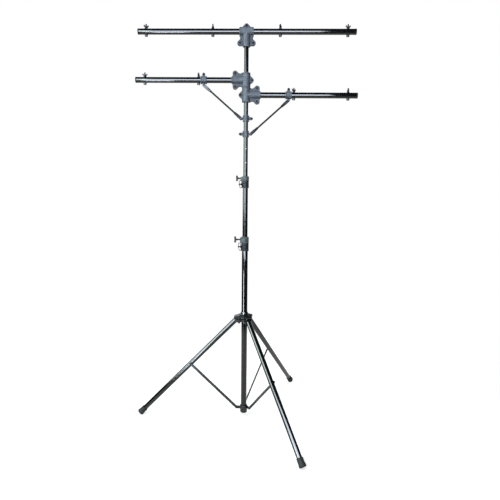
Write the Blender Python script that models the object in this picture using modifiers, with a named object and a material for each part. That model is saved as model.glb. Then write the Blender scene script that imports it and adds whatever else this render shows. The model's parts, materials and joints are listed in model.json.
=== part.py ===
"""Telescopic tripod stand for stage lights, with one crossbar and two braced side bars.

Metres, +Z up. The mast's axis is the Z axis and the floor is z = 0. The crossbar lies along X and
the front of the stand faces -Y. Each leg has a frame of its own: x outwards, y sideways, z up.
"""
import math

import bmesh
import bpy
from mathutils import Matrix, Vector

# Clearances between neighbouring pieces
FIT = 0.0003
TELESCOPE_GAP = 0.0010
SPLIT_GAP = 0.0004

# Tubes
TUBE_WALL = 0.0014
UPPER_TUBE_RADIUS = 0.0127
MIDDLE_TUBE_RADIUS = UPPER_TUBE_RADIUS + TELESCOPE_GAP + TUBE_WALL
LOWER_TUBE_RADIUS = MIDDLE_TUBE_RADIUS + TELESCOPE_GAP + TUBE_WALL
BAR_RADIUS = 0.0160
LEG_RADIUS = 0.0150

# Heights on the mast
BASE_CUP_FLOOR = 0.0337
LOWER_CLAMP_BOTTOM = 1.028
UPPER_CLAMP_ABOVE_LOWER = 0.368
TOP_BAR_ABOVE_CLAMP = 0.863
SIDE_BAR_DROP = 0.261
LEFT_BRACE_DROP = 0.211
RIGHT_BRACE_DROP = 0.216
MIDDLE_TUBE_INSERTED = 0.628
UPPER_TUBE_INSERTED = 0.696
MAST_HOLE_RADIUS = 0.0040
MIDDLE_HOLES_ABOVE_CLAMP = (0.275, 0.174)
UPPER_HOLES_ABOVE_CLAMP = (0.224, 0.144)

# Bars
TOP_BAR_LENGTH = 1.2192
SIDE_BAR_LENGTH = 0.6096
SIDE_BAR_START = 0.0184
TOP_BOLT_FROM_END = 0.0476
TOP_BOLT_FROM_MIDDLE = 0.188
SIDE_BOLT_FROM_END = 0.054
SIDE_BOLT_PAST_CLAMP = 0.029
BRACE_CLAMP_REACH = 0.240
END_CAP_LENGTH = 0.0065
END_CAP_SPIGOT = 0.014
END_CAP_PROUD = 0.0005

# Tripod linkage: hub pivot, leg pivot and base pivot make two equal links
LEG_AZIMUTHS = {"left": 180, "front": 300, "back": 60}
LEG_SPREAD = math.radians(44.46)
PIVOT_RADIUS = 0.042
HUB_PIVOT_INSET = 0.010
LINK_LENGTH = 0.3889
BASE_PIVOT_HEIGHT = 0.0655
LEG_PAST_PIVOT = 0.008

# Tripod pieces
BRACE_WIDTH = 0.016
BRACE_THICKNESS = 0.0030
BRACE_WASHER = 0.0012
PIVOT_BOLT_RADIUS = 0.0030
PIVOT_HEAD_RADIUS = 0.0055
PIVOT_HEAD_HEIGHT = 0.0024
BASE_COLLAR_WALL = 0.0042
BASE_COLLAR_BOTTOM = 0.026
BASE_LUG_THICKNESS = 0.0040
BASE_LUG_RADIUS = 0.0090
HUB_WALL = 0.0055
HUB_ABOVE_PIVOT = 0.0536
HUB_BELOW_PIVOT = 0.0064
HUB_CHEEK = 0.0040
HUB_ROOF = 0.0042
HUB_LUG_REACH = 0.0205
HUB_HANDLE_AZIMUTH = 240
FOOT_WALL = 0.0052
FOOT_LENGTH = 0.046
FOOT_EDGE = 0.005
FOOT_FLAT = 0.0006
FOOT_SOLE = 0.006

# Mast clamps
CLAMP_WALL = 0.0052
LOWER_SLEEVE_HEIGHT = 0.0470
LOWER_HEAD_HEIGHT = 0.0365
UPPER_SLEEVE_HEIGHT = 0.0395
UPPER_HEAD_HEIGHT = 0.0275
BOSS_RADIUS = 0.0085
BOSS_REACH = 0.0068
LIP = 0.0010
LOWER_HANDLE_REACH = 0.0350
UPPER_HANDLE_REACH = 0.0290
HANDLE_SCREW_RADIUS = 0.0040
HANDLE_THICKNESS = 0.0110
HANDLE_DEPTH = 0.0100
LOWER_HANDLE_LENGTH = 0.0360
UPPER_HANDLE_LENGTH = 0.0320
PIN_RADIUS = 0.0030
PIN_BOSS_RADIUS = 0.0058
PIN_BOSS_REACH = 0.0070
PIN_EYE_RADIUS = 0.0042
PIN_EYE_REACH = 0.0142
RING_WIRE = 0.0016
RING_HALF_WIDTH = 0.0110
RING_HALF_HEIGHT = 0.0220
RING_SWING = math.radians(52)
RING_TILT = math.radians(6)
PLUG_FLANGE = 0.008
PLUG_SPIGOT = 0.020

# T castings: run along x, stem down
CASTING_RUN_HALF = 0.0403
CASTING_STEM = 0.0825
CASTING_RUN_WALL = 0.0055
CASTING_STEM_WALL = 0.0040
CASTING_LIP = 0.0014
CASTING_LIP_LENGTH = 0.005
FLANGE_HALF = 0.0077
TOP_EAR_RADIUS = 0.0118
SIDE_EAR_RADIUS = 0.0150
EAR_BOLT_RADIUS = 0.0030
BOLT_HEAD_RADIUS = 0.0050
BOLT_HEAD_HEIGHT = 0.0040
NUT_RADIUS = 0.0054
RECESS_DEPTH = 0.0030
NUT_HEIGHT = 0.0045

# Brace clamps and arm braces
BRACE_CLAMP_HALF = 0.017
BRACE_CLAMP_WALL = 0.0027
BRACE_CLAMP_LIP = 0.0028
BRACE_CLAMP_LIP_LENGTH = 0.005
BRACE_EAR_HALF = 0.0055
BRACE_EAR_RADIUS = 0.0078
PIVOT_EAR_REACH = 0.0088
PLAIN_EAR_REACH = 0.0133
FORK_HALF_WIDTH = 0.0080
FORK_CHEEK = 0.0023
FORK_SLOT = 0.024
FORK_BODY = 0.034
FORK_SOCKET = 0.052
FORK_SOCKET_RADIUS = 0.0072
ARM_ROD_RADIUS = 0.0050

# Fixture bolts and wing nuts
STUD_RADIUS = 0.0040
STUD_ABOVE_BAR = 0.0245
FIXTURE_HEAD_RADIUS = 0.0085
FIXTURE_WASHER_RADIUS = 0.0092
FIXTURE_HEAD_HEIGHT = 0.0085
FIXTURE_WASHER_HEIGHT = 0.0027
WING_SPAN = 0.0150
WING_HEIGHT = 0.0180
WING_THICKNESS = 0.0034
WING_HUB_RADIUS = 0.0072
WING_HUB_HEIGHT = 0.0125
WING_TURNS = (28, 96, 64, 4, 12, 78, 100, 40)

# Roundness
TUBE_SIDES = 16
SMALL_SIDES = 10
BOLT_SIDES = 8
EAR_BOLT_SIDES = 6
SHARP_ANGLE = math.radians(35)

# Sizes that follow from those above
BORE_LOWER = LOWER_TUBE_RADIUS + FIT
BORE_MIDDLE = MIDDLE_TUBE_RADIUS + FIT
BORE_UPPER = UPPER_TUBE_RADIUS + FIT
BORE_BAR = BAR_RADIUS + FIT
BORE_BOLT = EAR_BOLT_RADIUS + FIT
UPPER_CLAMP_BOTTOM = LOWER_CLAMP_BOTTOM + UPPER_CLAMP_ABOVE_LOWER
TOP_BAR_HEIGHT = UPPER_CLAMP_BOTTOM + TOP_BAR_ABOVE_CLAMP
LEFT_BAR_HEIGHT = TOP_BAR_HEIGHT - SIDE_BAR_DROP
RIGHT_BAR_HEIGHT = LEFT_BAR_HEIGHT - 2 * CASTING_RUN_HALF - SPLIT_GAP
MIDDLE_TUBE_BOTTOM = LOWER_CLAMP_BOTTOM - MIDDLE_TUBE_INSERTED
UPPER_TUBE_BOTTOM = UPPER_CLAMP_BOTTOM - UPPER_TUBE_INSERTED
MIDDLE_TUBE_HOLES = [LOWER_CLAMP_BOTTOM + above for above in MIDDLE_HOLES_ABOVE_CLAMP]
UPPER_TUBE_HOLES = [UPPER_CLAMP_BOTTOM + above for above in UPPER_HOLES_ABOVE_CLAMP]
TOP_OUTER_BOLT = TOP_BAR_LENGTH / 2 - TOP_BOLT_FROM_END
TOP_BAR_BOLTS = (-TOP_OUTER_BOLT, -TOP_BOLT_FROM_MIDDLE, TOP_BOLT_FROM_MIDDLE, TOP_OUTER_BOLT)
SIDE_BAR_BOLTS = (SIDE_BAR_START + SIDE_BAR_LENGTH - SIDE_BOLT_FROM_END,
                  BRACE_CLAMP_REACH + SIDE_BOLT_PAST_CLAMP)
RUN_BARREL = BAR_RADIUS + CASTING_RUN_WALL
STEM_BARREL = BAR_RADIUS + CASTING_STEM_WALL
BRACE_CLAMP_BARREL = BAR_RADIUS + BRACE_CLAMP_WALL
BRACE_PIVOT_REACH = BRACE_CLAMP_BARREL + PIVOT_EAR_REACH
LINK_ANGLE = LEG_SPREAD + math.asin(HUB_PIVOT_INSET / LINK_LENGTH)
HUB_PIVOT_HEIGHT = BASE_PIVOT_HEIGHT + 2 * LINK_LENGTH * math.cos(LINK_ANGLE)
LEG_ABOVE = math.sqrt(LINK_LENGTH ** 2 - HUB_PIVOT_INSET ** 2)
BRACE_SIDE = LEG_RADIUS + BRACE_WASHER + BRACE_THICKNESS / 2
FOOT_RADIUS = LEG_RADIUS + FOOT_WALL
LEG_AXIS_HEIGHT = HUB_PIVOT_HEIGHT + HUB_PIVOT_INSET * math.sin(LEG_SPREAD)
FOOT_END = FOOT_EDGE + (LEG_AXIS_HEIGHT + FOOT_FLAT - FOOT_EDGE
                        - (FOOT_RADIUS - FOOT_EDGE) * math.sin(LEG_SPREAD)) / math.cos(LEG_SPREAD)
CHEEK_INSIDE = LEG_RADIUS + 2 * FIT

PARTS = "light_stand"
GUIDES = "light_stand_guides"


# Scene and materials

def clear_scene():
    """Remove every object and the collections of an earlier run."""
    for obj in list(bpy.data.objects):
        bpy.data.objects.remove(obj)
    for name in (PARTS, GUIDES):
        if name in bpy.data.collections:
            bpy.data.collections.remove(bpy.data.collections[name])
        bpy.context.scene.collection.children.link(bpy.data.collections.new(name))


def finish_material(name, colour, roughness, metallic):
    """A Principled material with one colour."""
    material = bpy.data.materials.get(name) or bpy.data.materials.new(name)
    material.use_nodes = True
    shader = material.node_tree.nodes["Principled BSDF"]
    shader.inputs["Base Color"].default_value = (*colour, 1)
    shader.inputs["Roughness"].default_value = roughness
    shader.inputs["Metallic"].default_value = metallic
    return material


def black_gloss():
    return finish_material("black_gloss", (0.020, 0.022, 0.024), 0.22, 0.0)


def cast_grey():
    return finish_material("cast_grey", (0.15, 0.19, 0.24), 0.50, 0.3)


def clamp_grey():
    return finish_material("clamp_grey", (0.24, 0.31, 0.33), 0.45, 0.3)


def dark_cast():
    return finish_material("dark_cast", (0.06, 0.08, 0.09), 0.45, 0.3)


def black_plastic():
    return finish_material("black_plastic", (0.025, 0.030, 0.030), 0.55, 0.0)


def rubber():
    return finish_material("rubber", (0.045, 0.055, 0.050), 0.80, 0.0)


def bolt_steel():
    return finish_material("bolt_steel", (0.08, 0.09, 0.10), 0.35, 0.9)


def zinc():
    return finish_material("zinc", (0.55, 0.58, 0.60), 0.35, 0.9)


# Shaping

def new_object(name, data):
    """An object of its own in the guides' collection, until it is placed."""
    obj = bpy.data.objects.new(name, data)
    bpy.data.collections[GUIDES].objects.link(obj)
    return obj


def applied(obj):
    """The object as a plain mesh: its curve or modifiers become faces and loose caps are welded."""
    depsgraph = bpy.context.evaluated_depsgraph_get()
    mesh = bpy.data.meshes.new_from_object(obj.evaluated_get(depsgraph))
    shape = bmesh.new()
    shape.from_mesh(mesh)
    bmesh.ops.remove_doubles(shape, verts=shape.verts, dist=1e-6)
    shape.to_mesh(mesh)
    shape.free()
    result = new_object(obj.name + "_mesh", mesh)
    result.matrix_world = obj.matrix_world.copy()
    bpy.data.objects.remove(obj)
    return result


def turned(profile, sides=TUBE_SIDES):
    """A profile of (radius, height) points, down its outer side first, turned about Z."""
    mesh = bpy.data.meshes.new("profile")
    count = len(profile)
    closed = profile[0][0] > 0 or profile[-1][0] > 0
    edges = [(i, (i + 1) % count) for i in range(count if closed else count - 1)]
    mesh.from_pydata([(radius, 0, height) for radius, height in profile], edges, [])
    obj = new_object("turned", mesh)
    screw = obj.modifiers.new("Screw", "SCREW")
    screw.axis = "Z"
    screw.steps = sides
    screw.render_steps = sides
    screw.use_merge_vertices = True
    screw.merge_threshold = 0.00001
    return applied(obj)


def ring_profile(inner, outer, low, high):
    """The profile of a plain sleeve."""
    return [(inner, high), (outer, high), (outer, low), (inner, low)]


def cylinder(radius, start, end, sides=SMALL_SIDES):
    """A solid cylinder between two points."""
    start, end = Vector(start), Vector(end)
    shape = bmesh.new()
    bmesh.ops.create_cone(shape, cap_ends=True, segments=sides, radius1=radius, radius2=radius,
                          depth=(end - start).length)
    turn = (end - start).to_track_quat("Z", "Y").to_matrix().to_4x4()
    shape.transform(Matrix.Translation((start + end) / 2) @ turn)
    mesh = bpy.data.meshes.new("cylinder")
    shape.to_mesh(mesh)
    shape.free()
    return new_object("cylinder", mesh)


def box(low, high):
    """A box between two corners."""
    low, high = Vector(low), Vector(high)
    shape = bmesh.new()
    bmesh.ops.create_cube(shape, size=1)
    size = high - low
    shape.transform(Matrix.Translation((low + high) / 2) @ Matrix.Diagonal((*size, 1)))
    mesh = bpy.data.meshes.new("box")
    shape.to_mesh(mesh)
    shape.free()
    return new_object("box", mesh)


def plate(outline, low, high, upright=True):
    """A flat outline extruded from low to high: along Y if upright, otherwise along Z."""
    curve = bpy.data.curves.new("plate", "CURVE")
    curve.dimensions = "2D"
    curve.fill_mode = "BOTH"
    curve.extrude = (high - low) / 2
    spline = curve.splines.new("POLY")
    spline.points.add(len(outline) - 1)
    for point, (u, v) in zip(spline.points, outline):
        point.co = (u, v, 0, 1)
    spline.use_cyclic_u = True
    obj = applied(new_object("plate", curve))
    middle = (low + high) / 2
    if upright:
        obj.data.transform(Matrix.Translation((0, middle, 0)) @ Matrix.Rotation(math.pi / 2, 4, "X"))
    else:
        obj.data.transform(Matrix.Translation((0, 0, middle)))
    return obj


def wire(points, radius, closed=False, resolution=2):
    """A round wire along a list of points."""
    curve = bpy.data.curves.new("wire", "CURVE")
    curve.dimensions = "3D"
    curve.bevel_depth = radius
    curve.bevel_resolution = resolution
    curve.use_fill_caps = True
    spline = curve.splines.new("POLY")
    spline.points.add(len(points) - 1)
    for point, place in zip(spline.points, points):
        point.co = (*place, 1)
    spline.use_cyclic_u = closed
    return applied(new_object("wire", curve))


def boolean(body, tool, operation):
    """One boolean on the body's mesh; the tool is used up."""
    step = body.modifiers.new(operation.title(), "BOOLEAN")
    step.operation = operation
    step.solver = "EXACT"
    step.object = tool
    result = applied(body)
    bpy.data.objects.remove(tool)
    return result


def fuse(body, *others):
    for other in others:
        body = boolean(body, other, "UNION")
    return body


def cut(body, *tools):
    for tool in tools:
        body = boolean(body, tool, "DIFFERENCE")
    return body


def copied(obj, matrix):
    """A copy of an object's mesh, moved by a matrix."""
    mesh = obj.data.copy()
    mesh.transform(matrix)
    return new_object(obj.name, mesh)


def moved(obj, matrix):
    obj.data.transform(matrix)
    return obj


def place(obj, name, material, parent=None, location=(0, 0, 0), rotation=(0, 0, 0)):
    """Name a finished piece, give it its material and put it in the stand."""
    bpy.data.collections[GUIDES].objects.unlink(obj)
    bpy.data.collections[PARTS].objects.link(obj)
    obj.name = name
    obj.data.name = name
    obj.data.materials.clear()
    obj.data.materials.append(material)
    obj.data.shade_smooth()
    obj.data.set_sharp_from_angle(angle=SHARP_ANGLE)
    obj.parent = parent
    obj.location = location
    obj.rotation_euler = rotation
    return obj


def empty(name, parent=None, location=(0, 0, 0), rotation=(0, 0, 0)):
    """A frame that pieces hang on."""
    frame = bpy.data.objects.new(name, None)
    bpy.data.collections[PARTS].objects.link(frame)
    frame.empty_display_size = 0.03
    frame.parent = parent
    frame.location = location
    frame.rotation_euler = rotation
    return frame


# Outlines

def arc(centre, radius, start, end, count):
    """Points on an arc from one angle to another, in degrees, both ends included."""
    angles = [math.radians(start + (end - start) * i / (count - 1)) for i in range(count)]
    return [(centre[0] + radius * math.cos(a), centre[1] + radius * math.sin(a)) for a in angles]


def tangent_angle(point, centre, radius):
    """The angle on a circle, in degrees, where the line from a point on its right touches it on top."""
    across, up = point[0] - centre[0], point[1] - centre[1]
    distance = math.hypot(across, up)
    return math.degrees(math.atan2(up, across) + math.acos(radius / distance))


def mirrored(right):
    """A right half from top to bottom, with its mirror image on the left."""
    return right + [(-u, v) for u, v in reversed(right) if abs(u) > 1e-9]


def teardrop(radius, nose_radius, nose_reach, count=14):
    """A circle drawn out to -X into a rounded nose, whose tip lies nose_reach past the circle."""
    centre = radius + nose_reach - nose_radius
    lean = math.degrees(math.acos((radius - nose_radius) / centre))
    big = arc((0, 0), radius, -180 + lean, 180 - lean, count)
    small = arc((-centre, 0), nose_radius, 180 - lean, 180 + lean, count // 2)
    return big + small


# Mast

def mast_tube(radius, low, high, holes=()):
    """A tube of the mast, with through holes that face the front."""
    tube = turned(ring_profile(radius - TUBE_WALL, radius, low, high))
    for height in holes:
        tube = cut(tube, cylinder(MAST_HOLE_RADIUS, (0, -2 * radius, height), (0, 2 * radius, height),
                                  BOLT_SIDES))
    return tube


def guide_plug(tube_radius, outer_radius):
    """The nylon plug in a tube's lower end; its flange guides the tube inside the next one."""
    spigot = tube_radius - TUBE_WALL - FIT
    flange = outer_radius - TUBE_WALL - FIT
    hollow = spigot * 0.6
    return turned([(hollow, PLUG_SPIGOT), (spigot, PLUG_SPIGOT), (spigot, 0), (flange, 0),
                   (flange, -PLUG_FLANGE + FIT), (flange - FIT, -PLUG_FLANGE), (hollow, -PLUG_FLANGE)])


class MastClamp:
    """Heights and radii of one of the two clamps; the outer tube ends inside its head."""

    def __init__(self, bottom, sleeve_height, head_height, outer_tube, inner_tube, handle_reach,
                 handle_length):
        self.bottom = bottom
        self.split = bottom + sleeve_height
        self.top = self.split + head_height
        self.outer_tube = outer_tube
        self.inner_tube = inner_tube
        self.radius = outer_tube + CLAMP_WALL
        self.tube_end = self.split + 0.25 * head_height
        self.handle_height = self.split + 0.55 * head_height
        self.pin_height = bottom + 0.52 * sleeve_height
        self.handle_centre = self.radius + handle_reach
        self.handle_length = handle_length
        self.boss_face = self.radius + BOSS_REACH
        self.eye_centre = self.radius + PIN_EYE_REACH


LOWER_CLAMP = MastClamp(LOWER_CLAMP_BOTTOM, LOWER_SLEEVE_HEIGHT, LOWER_HEAD_HEIGHT, LOWER_TUBE_RADIUS,
                        MIDDLE_TUBE_RADIUS, LOWER_HANDLE_REACH, LOWER_HANDLE_LENGTH)
UPPER_CLAMP = MastClamp(UPPER_CLAMP_BOTTOM, UPPER_SLEEVE_HEIGHT, UPPER_HEAD_HEIGHT, MIDDLE_TUBE_RADIUS,
                        UPPER_TUBE_RADIUS, UPPER_HANDLE_REACH, UPPER_HANDLE_LENGTH)


def clamp_head(clamp):
    """The cast head: a teardrop whose nose holds the lock screw, over a slimmer neck."""
    low = clamp.split + FIT / 2
    outline = teardrop(clamp.radius, BOSS_RADIUS, BOSS_REACH)
    head = plate(outline, low, clamp.top - 4 * LIP, upright=False)
    crown = turned([(0, clamp.top), (clamp.radius - 3 * LIP, clamp.top), (clamp.radius, clamp.top - 3 * LIP),
                    (clamp.radius, clamp.top - 5 * LIP), (0, clamp.top - 5 * LIP)])
    head = fuse(head, crown)
    screw = HANDLE_SCREW_RADIUS + FIT
    return cut(head,
               cylinder(clamp.outer_tube + FIT, (0, 0, low - LIP), (0, 0, clamp.tube_end + FIT), TUBE_SIDES),
               cylinder(clamp.inner_tube + FIT, (0, 0, low), (0, 0, clamp.top + LIP), TUBE_SIDES),
               cylinder(screw, (-2 * clamp.boss_face, 0, clamp.handle_height), (0, 0, clamp.handle_height)))


def clamp_sleeve(clamp):
    """The skirt below the head, ribbed by two grooves, with the boss that guides the pull pin."""
    bore, outer, high = clamp.outer_tube + FIT, clamp.radius - LIP / 2, clamp.split - FIT / 2
    height = high - clamp.bottom
    profile = [(bore, high), (outer, high)]
    for share in (0.36, 0.70):
        groove = high - share * height
        profile += [(outer, groove + LIP), (outer - LIP, groove), (outer, groove - LIP)]
    profile += [(outer, clamp.bottom + 4 * LIP), (outer + LIP, clamp.bottom + 3 * LIP),
                (outer + LIP, clamp.bottom + LIP), (outer, clamp.bottom), (bore, clamp.bottom)]
    sleeve = turned(profile)
    face = -(clamp.radius + PIN_BOSS_REACH)
    boss = cylinder(PIN_BOSS_RADIUS, (face, 0, clamp.pin_height), (-bore - LIP, 0, clamp.pin_height))
    hole = cylinder(PIN_RADIUS + FIT, (2 * face, 0, clamp.pin_height), (0, 0, clamp.pin_height))
    return cut(fuse(sleeve, boss), hole)


def lock_handle(screw_tip, centre, length):
    """A T-handle on its screw: the screw runs along X from its tip to the bar, which stands upright."""
    inner = centre - HANDLE_THICKNESS / 2
    half = length / 2
    waist = HANDLE_THICKNESS * 0.36
    right = [(HANDLE_THICKNESS / 2 * 0.6, half), (HANDLE_THICKNESS / 2, half - 2 * LIP),
             (HANDLE_THICKNESS / 2, half * 0.62), (waist, 0), (HANDLE_THICKNESS / 2, -half * 0.62),
             (HANDLE_THICKNESS / 2, 2 * LIP - half), (HANDLE_THICKNESS / 2 * 0.6, -half)]
    bar = plate(mirrored(right), -HANDLE_DEPTH / 2, HANDLE_DEPTH / 2)
    bar = moved(bar, Matrix.Translation((-centre, 0, 0)))
    neck = cylinder(HANDLE_SCREW_RADIUS * 1.5, (-centre, 0, 0), (-inner + 3 * LIP, 0, 0), BOLT_SIDES)
    screw = cylinder(HANDLE_SCREW_RADIUS, (-centre, 0, 0), (-screw_tip, 0, 0), BOLT_SIDES)
    return fuse(bar, neck, screw)


def pull_pin(clamp):
    """The index pin: its tip rests on the inner tube and its eye holds the ring's wire."""
    eye = clamp.eye_centre
    pin = cylinder(PIN_RADIUS, (-eye, 0, 0), (-clamp.inner_tube - FIT, 0, 0), BOLT_SIDES)
    knob = cylinder(PIN_EYE_RADIUS, (-eye, 0, -PIN_EYE_RADIUS), (-eye, 0, PIN_EYE_RADIUS))
    lean = Vector((-math.sin(RING_TILT), 0, math.cos(RING_TILT))) * 3 * PIN_EYE_RADIUS
    middle = Vector((-eye, 0, 0))
    return cut(fuse(pin, knob), cylinder(RING_WIRE + FIT, middle - lean, middle + lean, BOLT_SIDES))


def pin_ring():
    """An oval wire ring whose straight side is the Z axis; the rest of it lies towards +X."""
    rise = RING_HALF_HEIGHT - RING_HALF_WIDTH
    loop = arc((RING_HALF_WIDTH, rise), RING_HALF_WIDTH, 180, 0, 9)
    loop += arc((RING_HALF_WIDTH, -rise), RING_HALF_WIDTH, 0, -180, 9)
    return wire([(u, 0, v) for u, v in loop], RING_WIRE, closed=True, resolution=1)


def build_clamp(name, clamp, holder):
    """Head, sleeve, lock handle, pull pin and ring of one mast clamp."""
    place(clamp_head(clamp), name + "_clamp_head", clamp_grey(), holder)
    place(clamp_sleeve(clamp), name + "_clamp_sleeve", dark_cast(), holder)
    handle = lock_handle(clamp.inner_tube + FIT, clamp.handle_centre, clamp.handle_length)
    place(handle, name + "_lock_handle", black_plastic(), holder, (0, 0, clamp.handle_height))
    pin = place(pull_pin(clamp), name + "_pull_pin", bolt_steel(), holder, (0, 0, clamp.pin_height))
    swing = empty(name + "_ring_axis", pin, (-clamp.eye_centre, 0, 0), (0, -RING_TILT, 0))
    place(pin_ring(), name + "_pin_ring", bolt_steel(), swing, rotation=(0, 0, -RING_SWING))


def build_mast():
    """The three tubes with their guide plugs and clamps; each section hangs on its own frame."""
    lower = empty("lower_section")
    middle = empty("middle_section", lower)
    upper = empty("upper_section", middle)
    pin_hole = PIN_RADIUS + FIT
    lower_tube = mast_tube(LOWER_TUBE_RADIUS, BASE_CUP_FLOOR + FIT, LOWER_CLAMP.tube_end)
    middle_tube = mast_tube(MIDDLE_TUBE_RADIUS, MIDDLE_TUBE_BOTTOM, UPPER_CLAMP.tube_end, MIDDLE_TUBE_HOLES)
    upper_tube = mast_tube(UPPER_TUBE_RADIUS, UPPER_TUBE_BOTTOM, TOP_BAR_HEIGHT - BORE_BAR - FIT,
                           UPPER_TUBE_HOLES)
    lower_tube = cut(lower_tube, cylinder(pin_hole, (-2 * LOWER_TUBE_RADIUS, 0, LOWER_CLAMP.pin_height),
                                          (0, 0, LOWER_CLAMP.pin_height)))
    middle_tube = cut(middle_tube, cylinder(pin_hole, (-2 * MIDDLE_TUBE_RADIUS, 0, UPPER_CLAMP.pin_height),
                                            (0, 0, UPPER_CLAMP.pin_height)))
    place(lower_tube, "lower_mast_tube", black_gloss(), lower)
    place(middle_tube, "middle_mast_tube", black_gloss(), middle)
    place(upper_tube, "upper_mast_tube", black_gloss(), upper)
    place(guide_plug(MIDDLE_TUBE_RADIUS, LOWER_TUBE_RADIUS), "middle_guide_plug", black_plastic(), middle,
          (0, 0, MIDDLE_TUBE_BOTTOM - FIT))
    place(guide_plug(UPPER_TUBE_RADIUS, MIDDLE_TUBE_RADIUS), "upper_guide_plug", black_plastic(), upper,
          (0, 0, UPPER_TUBE_BOTTOM - FIT))
    build_clamp("lower", LOWER_CLAMP, lower)
    build_clamp("upper", UPPER_CLAMP, middle)
    return lower, upper


# Tripod

def around(azimuth):
    """The turn from a leg's frame to the stand's frame."""
    return Matrix.Rotation(math.radians(azimuth), 4, "Z")


def side_cylinder(radius, out, height, start, end, sides=BOLT_SIDES):
    """A cylinder along a leg frame's sideways axis."""
    return cylinder(radius, (out, start, height), (out, end, height), sides)


def pivot_bolt(out, height, start, end):
    """A pivot bolt along a leg frame's sideways axis, with its two heads outside start and end."""
    shank = side_cylinder(PIVOT_BOLT_RADIUS, out, height, start - LIP, end + LIP)
    near = side_cylinder(PIVOT_HEAD_RADIUS, out, height, start - PIVOT_HEAD_HEIGHT, start)
    far = side_cylinder(PIVOT_HEAD_RADIUS, out, height, end, end + PIVOT_HEAD_HEIGHT)
    return fuse(shank, near, far)


def base_collar():
    """The cup on the foot of the mast; beside each leg's plane a lug carries the brace's rivet."""
    outer = LOWER_TUBE_RADIUS + BASE_COLLAR_WALL
    high = BASE_PIVOT_HEIGHT + BASE_LUG_RADIUS + LIP
    dome = arc((outer - 2 * FOOT_EDGE, BASE_COLLAR_BOTTOM + 2 * FOOT_EDGE), 2 * FOOT_EDGE, 0, -90, 4)
    collar = turned([(0, high), (outer - LIP, high), (outer, high - LIP)] + dome + [(0, BASE_COLLAR_BOTTOM)])
    outside = BRACE_SIDE - BRACE_THICKNESS / 2 - FIT
    inside = outside - BASE_LUG_THICKNESS
    nose = arc((PIVOT_RADIUS, BASE_PIVOT_HEIGHT), BASE_LUG_RADIUS, 90, -90, 6)
    lug = plate([(outer / 3, high - LIP)] + nose + [(outer / 3, BASE_PIVOT_HEIGHT - BASE_LUG_RADIUS)],
                inside, outside)
    lug = fuse(lug, pivot_bolt(PIVOT_RADIUS, BASE_PIVOT_HEIGHT, inside + FIT,
                               outside + BRACE_THICKNESS + 2 * FIT))
    for azimuth in LEG_AZIMUTHS.values():
        collar = fuse(collar, copied(lug, around(azimuth)))
    bpy.data.objects.remove(lug)
    return cut(collar, cylinder(BORE_LOWER, (0, 0, BASE_CUP_FLOOR), (0, 0, high + LIP), TUBE_SIDES))


def tripod_brace():
    """A flat bar with round, drilled ends, from its base pivot at the origin up to the leg bolt."""
    half = BRACE_WIDTH / 2
    outline = arc((0, LINK_LENGTH), half, 0, 180, 6) + arc((0, 0), half, 180, 360, 6)
    bar = plate(outline, -BRACE_THICKNESS / 2, BRACE_THICKNESS / 2)
    hole = PIVOT_BOLT_RADIUS + FIT
    return cut(bar, side_cylinder(hole, 0, 0, -BRACE_WIDTH, BRACE_WIDTH),
               side_cylinder(hole, 0, LINK_LENGTH, -BRACE_WIDTH, BRACE_WIDTH))


def leg():
    """A leg about its bolt at the origin, with +Z towards the hub; washer and nut hold the brace."""
    low = LEG_ABOVE - FOOT_END + FOOT_SOLE
    tube = turned(ring_profile(LEG_RADIUS - TUBE_WALL, LEG_RADIUS, low, LEG_ABOVE + LEG_PAST_PIVOT))
    tube = cut(tube, side_cylinder(PIVOT_BOLT_RADIUS + FIT, -HUB_PIVOT_INSET, LEG_ABOVE,
                                   -2 * LEG_RADIUS, 2 * LEG_RADIUS))
    sunk = LEG_RADIUS - LIP
    bolt = pivot_bolt(0, 0, -sunk, BRACE_SIDE + BRACE_THICKNESS / 2 + FIT)
    washer = side_cylinder(PIVOT_HEAD_RADIUS, 0, 0, sunk, LEG_RADIUS + BRACE_WASHER - FIT)
    return fuse(tube, fuse(bolt, washer))


def rubber_foot(spread):
    """The boot on a leg's end, with a rounded sole and the flat that stands on the floor."""
    low = LEG_ABOVE - FOOT_END
    high = low + FOOT_LENGTH
    flare = FOOT_RADIUS - 2 * LIP
    edge = arc((FOOT_RADIUS - FOOT_EDGE, low + FOOT_EDGE), FOOT_EDGE, 0, -90, 3)
    boot = turned([(0, high), (flare - LIP, high), (flare, high - LIP), (flare, low + 2 * FOOT_EDGE),
                   (FOOT_RADIUS, low + 1.5 * FOOT_EDGE)] + edge + [(0, low)])
    boot = cut(boot, cylinder(LEG_RADIUS + FIT, (0, 0, low + FOOT_SOLE - FIT), (0, 0, high + LIP),
                              TUBE_SIDES))
    floor = Matrix.Rotation(spread, 4, "Y") @ Matrix.Translation((0, 0, leg_bolt_height_below()))
    ground = moved(box((-0.1, -0.1, -0.1), (0.1, 0.1, 0)), floor @ Matrix.Translation((foot_out(), 0, 0)))
    return cut(boot, ground)


def leg_bolt_height():
    return BASE_PIVOT_HEIGHT + LINK_LENGTH * math.cos(LINK_ANGLE)


def leg_bolt_height_below():
    return -leg_bolt_height()


def foot_out():
    """How far the foot stands out past the leg bolt."""
    return (FOOT_END - LEG_ABOVE) * math.sin(LEG_SPREAD)


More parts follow.
